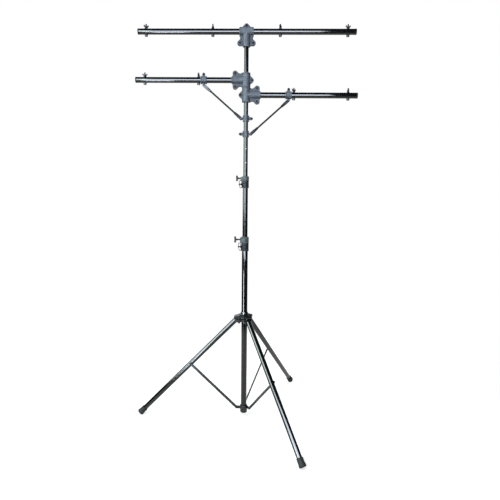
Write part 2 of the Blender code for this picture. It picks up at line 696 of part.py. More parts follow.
def hub_lug():
    """A hooded fork in a leg's frame: cheeks beside the leg, a sloping roof and the pivot bolt."""
    up, down = HUB_ABOVE_PIVOT, HUB_BELOW_PIVOT
    root = LOWER_TUBE_RADIUS * 0.69
    tip = PIVOT_RADIUS + HUB_LUG_REACH
    hem = HUB_LUG_REACH * 0.40
    outline = [(root, up * 0.83), (tip - 2 * LIP, up * 0.53), (tip, up * 0.46), (tip - 2 * LIP, up * 0.30),
               (PIVOT_RADIUS + hem, -down), (PIVOT_RADIUS - hem, -down * 1.4), (root, -down * 0.9)]
    slope = up * 0.30 / (tip - 2 * LIP - root)
    ceiling = up * 0.83 - HUB_ROOF
    slot = [(0, ceiling + slope * root), (2 * tip, ceiling + slope * (root - 2 * tip)),
            (2 * tip, -3 * down), (0, -3 * down)]
    outside = CHEEK_INSIDE + HUB_CHEEK
    lug = cut(plate(outline, -outside, outside), plate(slot, -CHEEK_INSIDE, CHEEK_INSIDE))
    return fuse(lug, pivot_bolt(PIVOT_RADIUS, 0, -outside + FIT, outside - FIT))


def tripod_hub():
    """The hub that slides on the lower tube, with its height zero at the leg pivots."""
    outer = BORE_LOWER + HUB_WALL
    up, down = HUB_ABOVE_PIVOT, HUB_BELOW_PIVOT
    hub = turned([(0, up), (outer - 3 * LIP, up), (outer - 2 * LIP, up - 2 * LIP), (outer - LIP, up * 0.80),
                  (outer, up * 0.62), (outer, -down), (0, -down)])
    lug = hub_lug()
    for azimuth in LEG_AZIMUTHS.values():
        hub = fuse(hub, copied(lug, around(azimuth)))
    bpy.data.objects.remove(lug)
    boss = cylinder(BOSS_RADIUS, (0, 0, 0), (outer + BOSS_REACH, 0, 0))
    turn = around(HUB_HANDLE_AZIMUTH)
    height = Matrix.Translation((0, 0, hub_handle_height()))
    hub = fuse(hub, moved(boss, height @ turn))
    screw = cylinder(HANDLE_SCREW_RADIUS + FIT, (0, 0, 0), (2 * outer, 0, 0))
    return cut(hub, cylinder(BORE_LOWER, (0, 0, -2 * down), (0, 0, 2 * up), TUBE_SIDES),
               moved(screw, height @ turn))


def hub_handle_height():
    """The hub's lock handle, above the leg pivots."""
    return HUB_ABOVE_PIVOT * 0.26


def build_tripod(mast):
    """Base collar, braces, legs and hub; a brace carries its leg, as the linkage moves."""
    place(base_collar(), "base_collar", black_gloss(), mast)
    for name, azimuth in LEG_AZIMUTHS.items():
        frame = empty("tripod_" + name, mast, rotation=(0, 0, math.radians(azimuth)))
        brace = place(tripod_brace(), "tripod_brace_" + name, black_gloss(), frame,
                      (PIVOT_RADIUS, BRACE_SIDE, BASE_PIVOT_HEIGHT), (0, LINK_ANGLE, 0))
        bolt_frame = empty("leg_frame_" + name, brace, (0, -BRACE_SIDE, LINK_LENGTH),
                           (0, -LINK_ANGLE - LEG_SPREAD, 0))
        place(leg(), "leg_" + name, black_gloss(), bolt_frame)
        place(rubber_foot(LEG_SPREAD), "foot_" + name, rubber(), bolt_frame)

    hub_frame = empty("hub_frame", mast, (0, 0, HUB_PIVOT_HEIGHT))
    place(tripod_hub(), "tripod_hub", black_gloss(), hub_frame)
    handle = lock_handle(LOWER_TUBE_RADIUS + FIT, LOWER_CLAMP.handle_centre, LOWER_HANDLE_LENGTH)
    place(handle, "hub_lock_handle", black_plastic(), hub_frame, (0, 0, hub_handle_height()),
          (0, 0, math.radians(HUB_HANDLE_AZIMUTH - 180)))


# Castings

def ear_bolts():
    """The places of a casting's three bolts, across and up from its centre."""
    top = (0, RUN_BARREL + 0.0095)
    side = STEM_BARREL + 0.0165
    return [top, (side, -CASTING_STEM + 0.0205), (-side, -CASTING_STEM + 0.0205)]


def casting_outline():
    """The flange of a T casting: domed top ear, straight run, waist and two round side ears."""
    top, side, _ = ear_bolts()
    shoulder = (0.023, RUN_BARREL + 0.0021)
    touch = tangent_angle(shoulder, top, TOP_EAR_RADIUS)
    right = arc(top, TOP_EAR_RADIUS, 90, touch, 4)
    edge = CASTING_RUN_HALF - FIT
    right += [shoulder, (edge - 0.0020, shoulder[1]), (edge, RUN_BARREL)]
    right += [(edge, -RUN_BARREL - 0.0015), (side[0] - 0.0010, -RUN_BARREL - 0.0095),
              (side[0] - 0.0010, side[1] + 0.026), (side[0] + 0.0015, side[1] + 0.019)]
    right += arc(side, SIDE_EAR_RADIUS, 62, -100, 7)
    right += [(STEM_BARREL + 0.004, side[1] - 0.0145), (STEM_BARREL + 0.001, side[1] - 0.0165),
              (STEM_BARREL - 0.0005, FIT - CASTING_STEM)]
    return mirrored(right)


def bolt_or_nut(across, up, seat, front):
    """A bolt along Y for a front half, seated on y = -seat, or its nut for the back half."""
    if front:
        head = cylinder(BOLT_HEAD_RADIUS, (across, LIP - seat, up), (across, -seat - BOLT_HEAD_HEIGHT, up),
                        BOLT_SIDES)
        end = seat + NUT_HEIGHT + LIP
        return fuse(head, cylinder(EAR_BOLT_RADIUS, (across, -seat, up), (across, end, up), EAR_BOLT_SIDES))
    nut = cylinder(NUT_RADIUS, (across, seat - LIP, up), (across, seat + NUT_HEIGHT, up), 6)
    return cut(nut, cylinder(BORE_BOLT, (across, 0, up), (across, 3 * seat, up), EAR_BOLT_SIDES))


def casting_half(run_radius, stem_radius, front):
    """One half of a T casting, split at y = 0: the front has its bolts, the back its nuts."""
    sign = -1 if front else 1
    far = sign * FLANGE_HALF
    seat = FLANGE_HALF - RECESS_DEPTH
    reach = 2 * CASTING_STEM
    run = moved(lipped_barrel(RUN_BARREL, CASTING_RUN_HALF, CASTING_LIP, CASTING_LIP_LENGTH),
                Matrix.Rotation(math.pi / 2, 4, "Y"))
    foot = -CASTING_STEM
    stem = turned([(0, 0), (STEM_BARREL, 0), (STEM_BARREL, foot + 1.4 * CASTING_LIP_LENGTH),
                   (STEM_BARREL + CASTING_LIP, foot + CASTING_LIP_LENGTH), (STEM_BARREL + CASTING_LIP, foot),
                   (0, foot)])
    body = fuse(plate(casting_outline(), -FLANGE_HALF, FLANGE_HALF), run, stem)
    for across, up in ear_bolts():
        body = cut(body, cylinder(BOLT_HEAD_RADIUS + 2 * FIT, (across, sign * seat, up),
                                  (across, 3 * far, up), BOLT_SIDES))
        if not front:
            body = cut(body, cylinder(BORE_BOLT, (across, -reach, up), (across, reach, up), EAR_BOLT_SIDES))
    body = cut(body, cylinder(run_radius, (-reach, 0, 0), (reach, 0, 0), TUBE_SIDES),
               cylinder(stem_radius, (0, 0, 0), (0, 0, -reach), TUBE_SIDES))
    body = boolean(body, half_space(front, reach), "INTERSECT")
    return fuse(body, *[bolt_or_nut(across, up, seat, front) for across, up in ear_bolts()])


def lipped_barrel(radius, half, lip, lip_length):
    """A solid barrel on the Z axis, from -half to half, with a raised lip on each end."""
    right = [(radius + lip, half), (radius + lip, half - lip_length), (radius, half - lip_length - lip)]
    return turned([(0, half)] + right + [(r, -h) for r, h in reversed(right)] + [(0, -half)])


def half_space(front, reach):
    """A box that keeps the front or the back of a clamp, short of the split."""
    low, high = sorted((SPLIT_GAP / 2, reach))
    if front:
        low, high = -high, -low
    return box((-reach, low, -reach), (reach, high, reach))


def build_castings(upper):
    """The top casting holds the crossbar; the two side castings hold the side bars, stem outwards."""
    quarter = Matrix.Rotation(math.pi / 2, 4, "Y")
    sites = {"top": (TOP_BAR_HEIGHT, Matrix.Identity(4), BORE_BAR, BORE_UPPER),
             "left": (LEFT_BAR_HEIGHT, quarter, BORE_UPPER, BORE_BAR),
             "right": (RIGHT_BAR_HEIGHT, quarter.inverted(), BORE_UPPER, BORE_BAR)}
    for name, (height, turn, run_radius, stem_radius) in sites.items():
        for front in (True, False):
            half = moved(casting_half(run_radius, stem_radius, front), turn)
            place(half, name + "_casting_" + ("front" if front else "back"), cast_grey(), upper,
                  (0, 0, height))


# Bars, brace clamps and arm braces

def fixture_bolt():
    """A bolt that hangs through a bar: hexagon head and washer below, long stud above."""
    low = LIP / 2 - BAR_RADIUS
    washer = cylinder(FIXTURE_WASHER_RADIUS, (0, 0, low - FIXTURE_WASHER_HEIGHT), (0, 0, low), SMALL_SIDES)
    head = cylinder(FIXTURE_HEAD_RADIUS, (0, 0, low - FIXTURE_WASHER_HEIGHT - FIXTURE_HEAD_HEIGHT),
                    (0, 0, low - FIXTURE_WASHER_HEIGHT / 2), 6)
    stud = cylinder(STUD_RADIUS, (0, 0, low - FIXTURE_WASHER_HEIGHT), (0, 0, BAR_RADIUS + STUD_ABOVE_BAR),
                    BOLT_SIDES)
    return fuse(washer, head, stud)


def bar(length, bolt_places):
    """A bar along X from the origin, with its fixture bolts upright in it."""
    tube = turned(ring_profile(BAR_RADIUS - TUBE_WALL, BAR_RADIUS, 0, length))
    tube = moved(tube, Matrix.Rotation(math.pi / 2, 4, "Y"))
    return fuse(tube, *[moved(fixture_bolt(), Matrix.Translation((out, 0, 0))) for out in bolt_places])


def end_cap():
    """A plastic plug for a bar's end, along +X, whose collar starts at x = 0."""
    proud = BAR_RADIUS + END_CAP_PROUD
    spigot = BAR_RADIUS - TUBE_WALL - FIT
    cap = turned([(0, END_CAP_LENGTH), (proud - LIP, END_CAP_LENGTH), (proud, END_CAP_LENGTH - LIP),
                  (proud, 0), (spigot, 0), (spigot, -END_CAP_SPIGOT), (0, -END_CAP_SPIGOT)])
    return moved(cap, Matrix.Rotation(math.pi / 2, 4, "Y"))


def brace_clamp_half(bore, front):
    """One half of a brace clamp on a tube along X: a bolted ear above and the pivot ear below."""
    barrel = lipped_barrel(BRACE_CLAMP_BARREL, BRACE_CLAMP_HALF, BRACE_CLAMP_LIP, BRACE_CLAMP_LIP_LENGTH)
    barrel = moved(barrel, Matrix.Rotation(math.pi / 2, 4, "Y"))
    bolt = BRACE_CLAMP_BARREL + PLAIN_EAR_REACH
    root = BRACE_CLAMP_BARREL * 0.8
    wide, narrow = BRACE_EAR_RADIUS + LIP, BRACE_EAR_RADIUS - LIP
    ear = plate(arc((0, bolt), BRACE_EAR_RADIUS, 0, 180, 6) + [(-wide, root), (wide, root)],
                -BRACE_EAR_HALF, BRACE_EAR_HALF)
    pivot = plate(arc((0, -BRACE_PIVOT_REACH), narrow, 180, 360, 6) + [(narrow, -root), (-narrow, -root)],
                  -BRACE_EAR_HALF, BRACE_EAR_HALF)
    reach = 4 * BRACE_CLAMP_HALF
    body = cut(fuse(barrel, ear, pivot), cylinder(bore, (-reach, 0, 0), (reach, 0, 0), TUBE_SIDES),
               cylinder(BORE_BOLT, (0, -reach, -BRACE_PIVOT_REACH), (0, reach, -BRACE_PIVOT_REACH),
                        BOLT_SIDES))
    if not front:
        body = cut(body, cylinder(BORE_BOLT, (0, -reach, bolt), (0, reach, bolt), EAR_BOLT_SIDES))
    body = boolean(body, half_space(front, reach), "INTERSECT")
    return fuse(body, bolt_or_nut(0, bolt, BRACE_EAR_HALF, front))


def brace_fork():
    """A fork about its pivot bolt at the origin, with a socket for the rod along +Z."""
    inside = BRACE_EAR_HALF + FIT
    outside = inside + FORK_CHEEK
    narrow, wide = FORK_HALF_WIDTH - 2 * LIP, FORK_HALF_WIDTH
    blank = plate(arc((0, 0), wide, 180, 360, 6)
                  + [(wide, FORK_BODY - 2 * LIP), (narrow, FORK_BODY), (-narrow, FORK_BODY),
                     (-wide, FORK_BODY - 2 * LIP)], -outside, outside)
    socket = cylinder(FORK_SOCKET_RADIUS, (0, 0, FORK_BODY - 2 * LIP), (0, 0, FORK_SOCKET), SMALL_SIDES)
    slot = box((-2 * wide, -inside, -2 * wide), (2 * wide, inside, FORK_SLOT))
    bolt = cylinder(BOLT_HEAD_RADIUS, (0, FIT - outside, 0), (0, -outside - BOLT_HEAD_HEIGHT, 0), BOLT_SIDES)
    nut = cylinder(NUT_RADIUS, (0, outside - FIT, 0), (0, outside + NUT_HEIGHT, 0), 6)
    shank = cylinder(EAR_BOLT_RADIUS, (0, -outside, 0), (0, outside + NUT_HEIGHT + LIP, 0), BOLT_SIDES)
    return fuse(cut(fuse(blank, socket), slot), fuse(shank, bolt, nut))


def arm_brace(length):
    """A rod in the sockets of two forks, whose pivots are length apart on the Z axis."""
    low = FORK_SLOT + 6 * LIP
    rod = cylinder(ARM_ROD_RADIUS, (0, 0, low), (0, 0, length - low), SMALL_SIDES)
    far = Matrix.Translation((0, 0, length)) @ Matrix.Rotation(math.pi, 4, "Y")
    return fuse(rod, brace_fork(), moved(brace_fork(), far))


def build_side_arm(name, sign, bar_height, clamp_height, upper):
    """A side bar with its cap, brace and two brace clamps; sign is -1 on the left."""
    turn = 0 if sign > 0 else math.pi
    length = SIDE_BAR_LENGTH - END_CAP_LENGTH - FIT
    places = [out - SIDE_BAR_START for out in SIDE_BAR_BOLTS]
    place(bar(length, places), name + "_bar", black_gloss(), upper, (sign * SIDE_BAR_START, 0, bar_height),
          (0, 0, turn))
    place(end_cap(), name + "_bar_cap", black_plastic(), upper,
          (sign * (SIDE_BAR_START + length + FIT), 0, bar_height), (0, 0, turn))

    outer = Vector((sign * BRACE_CLAMP_REACH, 0, bar_height - BRACE_PIVOT_REACH))
    inner = Vector((sign * BRACE_PIVOT_REACH, 0, clamp_height))
    along = inner - outer
    place(arm_brace(along.length), "arm_brace_" + name, black_plastic(), upper, outer,
          (0, math.atan2(along.x, along.z), 0))
    for front, half in ((True, "_front"), (False, "_back")):
        place(brace_clamp_half(BORE_BAR, front), name + "_bar_clamp" + half, cast_grey(), upper,
              (sign * BRACE_CLAMP_REACH, 0, bar_height))
        place(brace_clamp_half(BORE_UPPER, front), name + "_mast_clamp" + half, cast_grey(), upper,
              (0, 0, clamp_height), (0, -sign * math.pi / 2, 0))


def build_arms(upper):
    """Both side arms; the left one stands higher on the mast."""
    build_side_arm("left", -1, LEFT_BAR_HEIGHT, LEFT_BAR_HEIGHT - LEFT_BRACE_DROP, upper)
    build_side_arm("right", 1, RIGHT_BAR_HEIGHT, RIGHT_BAR_HEIGHT - RIGHT_BRACE_DROP, upper)


# Wing nuts

def wing_nut():
    """A wing nut that stands on z = 0, its wings spread along X."""
    hub = turned([(0, WING_HUB_HEIGHT), (WING_HUB_RADIUS * 0.75, WING_HUB_HEIGHT),
                  (WING_HUB_RADIUS, WING_HUB_HEIGHT * 0.3), (WING_HUB_RADIUS * 1.1, 0), (0, 0)], SMALL_SIDES)
    ear = WING_SPAN * 0.28
    right = [(STUD_RADIUS + LIP, WING_HUB_HEIGHT * 0.95)]
    right += arc((WING_SPAN - ear, WING_HEIGHT - ear), ear, 120, -30, 4)
    right += [(WING_HUB_RADIUS, WING_HUB_HEIGHT * 0.25), (STUD_RADIUS + LIP, WING_HUB_HEIGHT * 0.15)]
    wings = plate(mirrored(right), -WING_THICKNESS / 2, WING_THICKNESS / 2)
    return cut(fuse(hub, wings), cylinder(STUD_RADIUS + FIT, (0, 0, -LIP), (0, 0, 2 * WING_HEIGHT)))


def build_top_bar(upper):
    """The crossbar with its caps, and the wing nuts of all three bars."""
    half = TOP_BAR_LENGTH / 2 - END_CAP_LENGTH - FIT
    place(bar(2 * half, [out + half for out in TOP_BAR_BOLTS]), "top_bar", black_gloss(), upper,
          (-half, 0, TOP_BAR_HEIGHT))
    for name, sign in (("left", -1), ("right", 1)):
        place(end_cap(), "top_bar_cap_" + name, black_plastic(), upper,
              (sign * (half + FIT), 0, TOP_BAR_HEIGHT), (0, 0, 0 if sign > 0 else math.pi))

    places = [("top_" + str(i + 1), out, TOP_BAR_HEIGHT) for i, out in enumerate(TOP_BAR_BOLTS)]
    for name, sign, height in (("left_", -1, LEFT_BAR_HEIGHT), ("right_", 1, RIGHT_BAR_HEIGHT)):
        places += [(name + str(i + 1), sign * out, height) for i, out in enumerate(SIDE_BAR_BOLTS)]
    for (name, out, height), turn in zip(places, WING_TURNS):
        place(wing_nut(), "wing_nut_" + name, bolt_steel(), upper, (out, 0, height + BAR_RADIUS + FIT),
              (0, 0, math.radians(turn)))


def main():
    clear_scene()
    lower, upper = build_mast()
    build_tripod(lower)
    build_castings(upper)
    build_arms(upper)
    build_top_bar(upper)


main()
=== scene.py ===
"""Stage-lighting stand: a telescopic mast on a folding tripod, with a crossbar and two braced side
bars. Lengths are in metres and Z is up; the stand is seen from -Y."""
import functools
import json
import math

import bmesh
import bpy
import numpy as np
from bpy.props import FloatProperty, FloatVectorProperty, IntProperty, PointerProperty
from mathutils import Matrix


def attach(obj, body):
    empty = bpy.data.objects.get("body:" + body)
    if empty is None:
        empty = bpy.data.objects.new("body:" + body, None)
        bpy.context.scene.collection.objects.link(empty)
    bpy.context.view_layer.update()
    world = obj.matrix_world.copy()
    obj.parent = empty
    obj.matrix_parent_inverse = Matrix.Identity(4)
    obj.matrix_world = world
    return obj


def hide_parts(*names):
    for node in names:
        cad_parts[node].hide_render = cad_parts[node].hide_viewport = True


bl_info = {
    "name": "Lighting Stand",
    "version": (1, 0, 0),
    "blender": (4, 5, 0),
    "location": "View3D > Sidebar > Stand",
    "description": "Builds a stage-lighting stand with its tripod, mast, bars and studio",
    "category": "Add Mesh",
}

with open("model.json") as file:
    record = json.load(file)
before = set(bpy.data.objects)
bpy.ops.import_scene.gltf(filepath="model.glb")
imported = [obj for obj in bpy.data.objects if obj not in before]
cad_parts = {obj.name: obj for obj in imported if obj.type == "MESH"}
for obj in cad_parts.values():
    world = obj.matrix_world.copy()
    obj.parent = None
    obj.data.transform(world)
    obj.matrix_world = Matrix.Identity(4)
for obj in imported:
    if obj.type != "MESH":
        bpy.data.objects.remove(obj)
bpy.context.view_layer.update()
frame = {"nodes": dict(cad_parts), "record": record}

# Radii of the tubes, their wall, the gap of a fit and the radius of bolts and pins
UPPER_R, MIDDLE_R, LOWER_R, BAR_R, LEG_R = 0.0127, 0.0151, 0.0175, 0.0160, 0.0150
WALL, FIT, BOLT_R = 0.0014, 0.0003, 0.0030

# Places along the mast and the bars
TOP_Z = 2.259
SIDE_BARS = {"left": (-1, 1.998), "right": (1, 1.917)}
CLAMP_Z = {"left": 1.787, "right": 1.701}
CLAMP_REACH = 0.240
TOP_BOLTS, SIDE_BOLTS = (-0.562, -0.188, 0.188, 0.562), (0.574, 0.269)
WING_TURNS = (28, 96, 64, 4, 12, 78, 100, 40)
BAR_ENDS = {"top": 0.6096, "side": 0.6280}
SIDE_START, CAP_DEPTH = 0.0184, 0.0065

# Mast tubes: radius, lower end, index holes
MAST_TUBES = {"lower": (LOWER_R, 0.0340, ()), "middle": (MIDDLE_R, 0.400, (1.303, 1.202)),
              "upper": (UPPER_R, 0.700, (1.620, 1.540))}
INDEX_HOLE_R, INDEX_BAND = 0.0040, 0.006

# Mast clamps: bottom, height of the sleeve and of the head, radii of the tube inside the sleeve and
# of the sliding tube, reach and length of the handle
CLAMPS = {"lower": (1.028, 0.0470, 0.0365, LOWER_R, MIDDLE_R, 0.0350, 0.0360),
          "upper": (1.396, 0.0395, 0.0275, MIDDLE_R, UPPER_R, 0.0290, 0.0320)}
CLAMP_WALL, HALF_GAP, EYE_REACH = 0.0052, 0.00015, 0.0142
# How far up the head the outer tube ends and the handle sits, and how far up the sleeve the pin
TUBE_SHARE, HANDLE_SHARE, PIN_SHARE = 0.25, 0.55, 0.52

# Tripod linkage: the braces and the upper parts of the legs are equal links
AZIMUTHS = {"left": 180, "front": 300, "back": 60}
SPREAD = math.radians(44.46)
PIVOT_R, INSET, LINK, BASE_Z = 0.042, 0.010, 0.3889, 0.0655
LINK_ANGLE = SPREAD + math.asin(INSET / LINK)
HUB_Z = BASE_Z + 2 * LINK * math.cos(LINK_ANGLE)
LEG_ABOVE = math.sqrt(LINK ** 2 - INSET ** 2)
BRACE_SIDE, BRACE_HALF, BRACE_R = 0.0177, 0.0015, 0.008
FOOT_R, FOOT_EDGE, FOOT_FLAT = 0.0202, 0.005, 0.0006
FOOT_END = FOOT_EDGE + (HUB_Z + INSET * math.sin(SPREAD) + FOOT_FLAT - FOOT_EDGE
                        - (FOOT_R - FOOT_EDGE) * math.sin(SPREAD)) / math.cos(SPREAD)

# T castings: half the run's length, stem, barrels' radii, flange, and the centres of the three ears
RUN_HALF, STEM, RUN_BARREL, STEM_BARREL, FLANGE = 0.0403, 0.0825, 0.0215, 0.0200, 0.0077
EAR_R, SIDE_EAR_R, SINK_R = 0.0118, 0.0150, 0.0062
EARS = np.array([(0, RUN_BARREL + 0.0095), (STEM_BARREL + 0.0165, 0.0205 - STEM),
                 (-STEM_BARREL - 0.0165, 0.0205 - STEM)])

# Brace clamps and forks: places of the two ears, half their thickness, a fork's plate and width
PIVOT_EAR, PLAIN_EAR, EAR_HALF = 0.0275, 0.0320, 0.0055
FORK_PLATE, FORK_HALF = 0.0023, 0.0080

# Points nearer than MERGE become one; edges shorter than SHORTEST go; steeper corners stay sharp
MERGE, SHORTEST, SHARP = 1e-6, 1e-7, math.radians(32)

# Lamps: place, target, width, height, radiance, colour, whether it is a card that gloss mirrors
NEUTRAL, COOL, GREENISH = (1, 1, 1), (0.80, 0.88, 1.0), (0.84, 1.0, 0.97)
LAMPS = {
    "key": ((-2.3, -2.4, 3.6), (0, 0, 1.5), 1.2, 1.2, 22.0, NEUTRAL, False),
    "fill": ((2.6, -2.8, 2.0), (0, 0, 1.3), 2.0, 2.0, 1.0, NEUTRAL, False),
    "top": ((0.0, -0.3, 4.6), (0, 0, 1.0), 2.4, 1.6, 2.0, NEUTRAL, False),
    "back": ((1.2, 2.9, 2.6), (0, 0, 1.3), 2.0, 2.0, 3.0, NEUTRAL, False),
    "front_card": ((-0.36, -2.95, 2.07), (-0.36, 0, 2.07), 3.1, 2.10, 24.0, COOL, True),
    "left_card": ((-2.62, -1.50, 2.35), (0, 0, 2.35), 3.3, 2.5, 18.0, GREENISH, True),
    "low_card": ((-1.31, -2.01, 0.40), (0, 0, 0.40), 0.6, 0.78, 48.0, COOL, True),
}

# Glow of the floor, light of the room in front, and the backdrop's range of Y and of brightness
FLOOR_LIFT, ROOM_LIGHT = 0.62, 0.16
BACKDROP = (0.70, 0.92, 0.015, 1.0)

# Camera: place, turn to the left, tilt down and roll in radians, and its lens
EYE, HEADING, TILT, ROLL = (0.1007, -2.8041, 1.3949), 0.0251, 0.1281, 0.0094
SENSOR, LENS, CLIP = 36.0, 34.55, (0.05, 200.0)


# Sizes and colours that a user may change

def colour_property(label, use, default):
    """A colour that a user may change."""
    return FloatVectorProperty(name=label, description="Colour of " + use, default=default,
                               subtype="COLOR", min=0, max=1)


class StandSizes(bpy.types.PropertyGroup):
    """Sizes of the stand's finish and its studio."""
    sides: IntProperty(
        name="Tube Sides", description="Number of flats round a tube", default=96, min=24)
    grain: FloatProperty(
        name="Cast Grain", description="Size of the castings' surface grain",
        default=0.0011, min=0.0003, max=0.005, unit="LENGTH", precision=4)
    floor_size: FloatProperty(
        name="Floor Size", description="Side of the studio's floor",
        default=3.4, min=2.0, unit="LENGTH")


class StandColours(bpy.types.PropertyGroup):
    """Colours of the stand's finishes and its floor."""
    paint: colour_property("Gloss Paint", "the painted tubes", (0.005, 0.007, 0.008))
    casting: colour_property("Castings", "the T castings and brace clamps", (0.185, 0.230, 0.290))
    clamp_head: colour_property("Clamp Heads", "the mast clamps' heads", (0.15, 0.205, 0.215))
    clamp_sleeve: colour_property("Clamp Sleeves", "the clamps' sleeves", (0.040, 0.055, 0.064))
    plastic: colour_property("Plastic", "the handles and end caps", (0.014, 0.017, 0.018))
    rubber: colour_property("Rubber", "the feet", (0.014, 0.018, 0.018))
    steel: colour_property("Dark Steel", "bolts, wing nuts and pins", (0.028, 0.033, 0.038))
    floor: colour_property("Floor", "the studio's floor", (0.90, 0.90, 0.90))


def sizes():
    return bpy.context.scene.stand_sizes


def colour_of(name):
    return tuple(getattr(bpy.context.scene.stand_colours, name))


# Places: 4 by 4 matrices

def move(x=0.0, y=0.0, z=0.0):
    matrix = np.eye(4)
    matrix[:3, 3] = (x, y, z)
    return matrix


def turn(axis, angle):
    """A right-handed turn about a named axis."""
    first, second = {"x": (1, 2), "y": (2, 0), "z": (0, 1)}[axis]
    matrix = np.eye(4)
    matrix[first, first] = matrix[second, second] = math.cos(angle)
    matrix[second, first] = math.sin(angle)
    matrix[first, second] = -math.sin(angle)
    return matrix


def around(azimuth):
    return turn("z", math.radians(azimuth))


# Turns named for where they take the Z axis. A slab turned to the front stands upright, its
# outline in X and Z.
TO_FRONT, TO_BACK = turn("x", math.pi / 2), turn("x", -math.pi / 2)
TO_RIGHT, TO_LEFT = turn("y", math.pi / 2), turn("y", -math.pi / 2)


# Surfaces: a shell is an array of points and an array of four-cornered faces

def grid_shell(points, around=False, along=False):
    """Faces between neighbours on a grid of points; around and along join its last row or column
    to its first."""
    rows, columns = points.shape[:2]
    index = np.arange(rows * columns).reshape(rows, columns)
    if around:
        index = np.vstack([index, index[:1]])
    if along:
        index = np.hstack([index, index[:, :1]])
    faces = np.stack([index[:-1, :-1], index[1:, :-1], index[1:, 1:], index[:-1, 1:]], axis=-1)
    return points.reshape(-1, 3), faces.reshape(-1, 4)


def joined(*shells):
    """Several shells as one."""
    points, faces, count = [], [], 0
    for shell_points, shell_faces in shells:
        points.append(shell_points)
        faces.append(shell_faces + count)
        count += len(shell_points)
    return np.concatenate(points), np.concatenate(faces)


def shifted(shell, matrix):
    """A shell moved by a 4 by 4 matrix."""
    points, faces = shell
    return points @ matrix[:3, :3].T + matrix[:3, 3], faces


def flipped(shell):
    """A shell mirrored from front to back, with its faces still pointing out."""
    points, faces = shell
    return points * (1, -1, 1), faces[:, ::-1]


def softened(points, radius, steps=4, closed=True):
    """Corners of an outline or profile rounded: each corner P becomes the parabola from A to B,
    where A and B lie radius away on its two sides, (1-t)^2 A + 2t(1-t) P + t^2 B."""
    points = np.asarray(points, float)
    before, after = np.roll(points, 1, 0) - points, np.roll(points, -1, 0) - points
    reach = [np.linalg.norm(side, axis=1, keepdims=True) for side in (before, after)]
    start = points + before / reach[0] * np.minimum(radius, 0.45 * reach[0])
    end = points + after / reach[1] * np.minimum(radius, 0.45 * reach[1])
    t = np.linspace(0, 1, steps)[None, :, None]
    curve = ((1 - t) ** 2 * start[:, None] + 2 * t * (1 - t) * points[:, None]
             + t ** 2 * end[:, None])
    if closed:
        return curve.reshape(-1, 2)
    return np.concatenate([points[:1], curve[1:-1].reshape(-1, 2), points[-1:]])


def turned(profile, sides, soft=0.0004, steps=4):
    """A profile of (radius, height), down its outer side, carried round the Z axis:
    x = r cos a, y = r sin a. It ends on the axis, or its last point joins its first."""
    profile = np.asarray(profile, float)
    loop = profile[0, 0] > 0
    profile = softened(profile, soft, steps, closed=loop)
    angles = np.linspace(0, 2 * np.pi, sides, endpoint=False)[:, None]
    points = np.stack([profile[:, 0] * np.cos(angles), profile[:, 0] * np.sin(angles),
                       np.broadcast_to(profile[:, 1], (sides, len(profile)))], axis=-1)
    return grid_shell(points[:, ::-1], around=True, along=loop)


def rod(radius, low, high, sides=32):
    """A solid round rod on the Z axis."""
    return turned([(0, high), (radius, high), (radius, low), (0, low)], sides)


def tube(radius, low, high):
    """An open tube on the Z axis."""
    return turned([(radius - WALL, high), (radius, high), (radius, low), (radius - WALL, low)],
                  sizes().sides, 0.00035)


def balanced(upper):
    """The upper half of a profile, with its mirror image below."""
    return upper + [(radius, -height) for radius, height in reversed(upper)]


def arc(centre, radius, start, end, count):
    """Points on an arc from one angle to another, in degrees."""
    angles = np.radians(np.linspace(start, end, count))
    return np.stack([centre[0] + radius * np.cos(angles), centre[1] + radius * np.sin(angles)],
                    axis=1)


def mirrored(right):
    """A right half from top to bottom, with its mirror image on the left."""
    right = np.asarray(right, float)
    return np.concatenate([right, (right * (-1, 1))[::-1]])


def wound(outline):
    """The outline, turned counter-clockwise."""
    following = np.roll(outline, -1, 0)
    area = (outline[:, 0] * following[:, 1] - following[:, 0] * outline[:, 1]).sum()
    return outline if area > 0 else outline[::-1]


def inward(outline):
    """The unit normals that point into a counter-clockwise outline."""
    along = np.roll(outline, -1, 0) - np.roll(outline, 1, 0)
    along /= np.linalg.norm(along, axis=1, keepdims=True)
    return np.stack([-along[:, 1], along[:, 0]], axis=1)


def slab_rows(outline, low, high, soft, middle, corner):
    """The rows of points of a slab, from the middle of its bottom round the rim to the top's."""
    outline = wound(softened(outline, corner, 5))
    keep = np.linalg.norm(outline - np.roll(outline, 1, 0), axis=1) > MERGE
    outline = outline[keep]
    normal = inward(outline)
    middle = outline.mean(0) if middle is None else np.asarray(middle, float)
    a = np.linspace(0, np.pi / 2, 5)
    inset = np.concatenate([soft * (1 - np.cos(a[::-1])), soft * (1 - np.cos(a))])
    height = np.concatenate([high - soft + soft * np.sin(a[::-1]), low + soft - soft * np.sin(a)])
    rim = outline[None] + normal[None] * inset[:, None, None]
    height = np.broadcast_to(height[:, None, None], (len(height), len(outline), 1))
    ends = [np.broadcast_to(np.array([*middle, z]), (1, len(outline), 3)) for z in (high, low)]
    return np.concatenate([ends[0], np.concatenate([rim, height], axis=2), ends[1]])[::-1]


def slab(outline, low, high, soft=0.0006, middle=None, corner=0.0008):
    """A flat outline in X and Y given a thickness from low to high in Z. Its rim follows a quarter
    circle of the soft radius at each face: inset r(1 - cos a), height r sin a."""
    return grid_shell(slab_rows(outline, low, high, soft, middle, corner), along=True)


def pierced(outline, bore, low, high, soft):
    """A slab with a round hole on the Z axis. Each point of the hole's edge lies on the line from
    the axis to a point of the outline, at the bore's radius."""
    rows = slab_rows(outline, low, high, soft, (0, 0), 0.0002)
    away = rows[2, :, :2] / np.linalg.norm(rows[2, :, :2], axis=1, keepdims=True)
    rows[0, :, :2] = rows[-1, :, :2] = bore * away
    return grid_shell(rows, around=True, along=True)


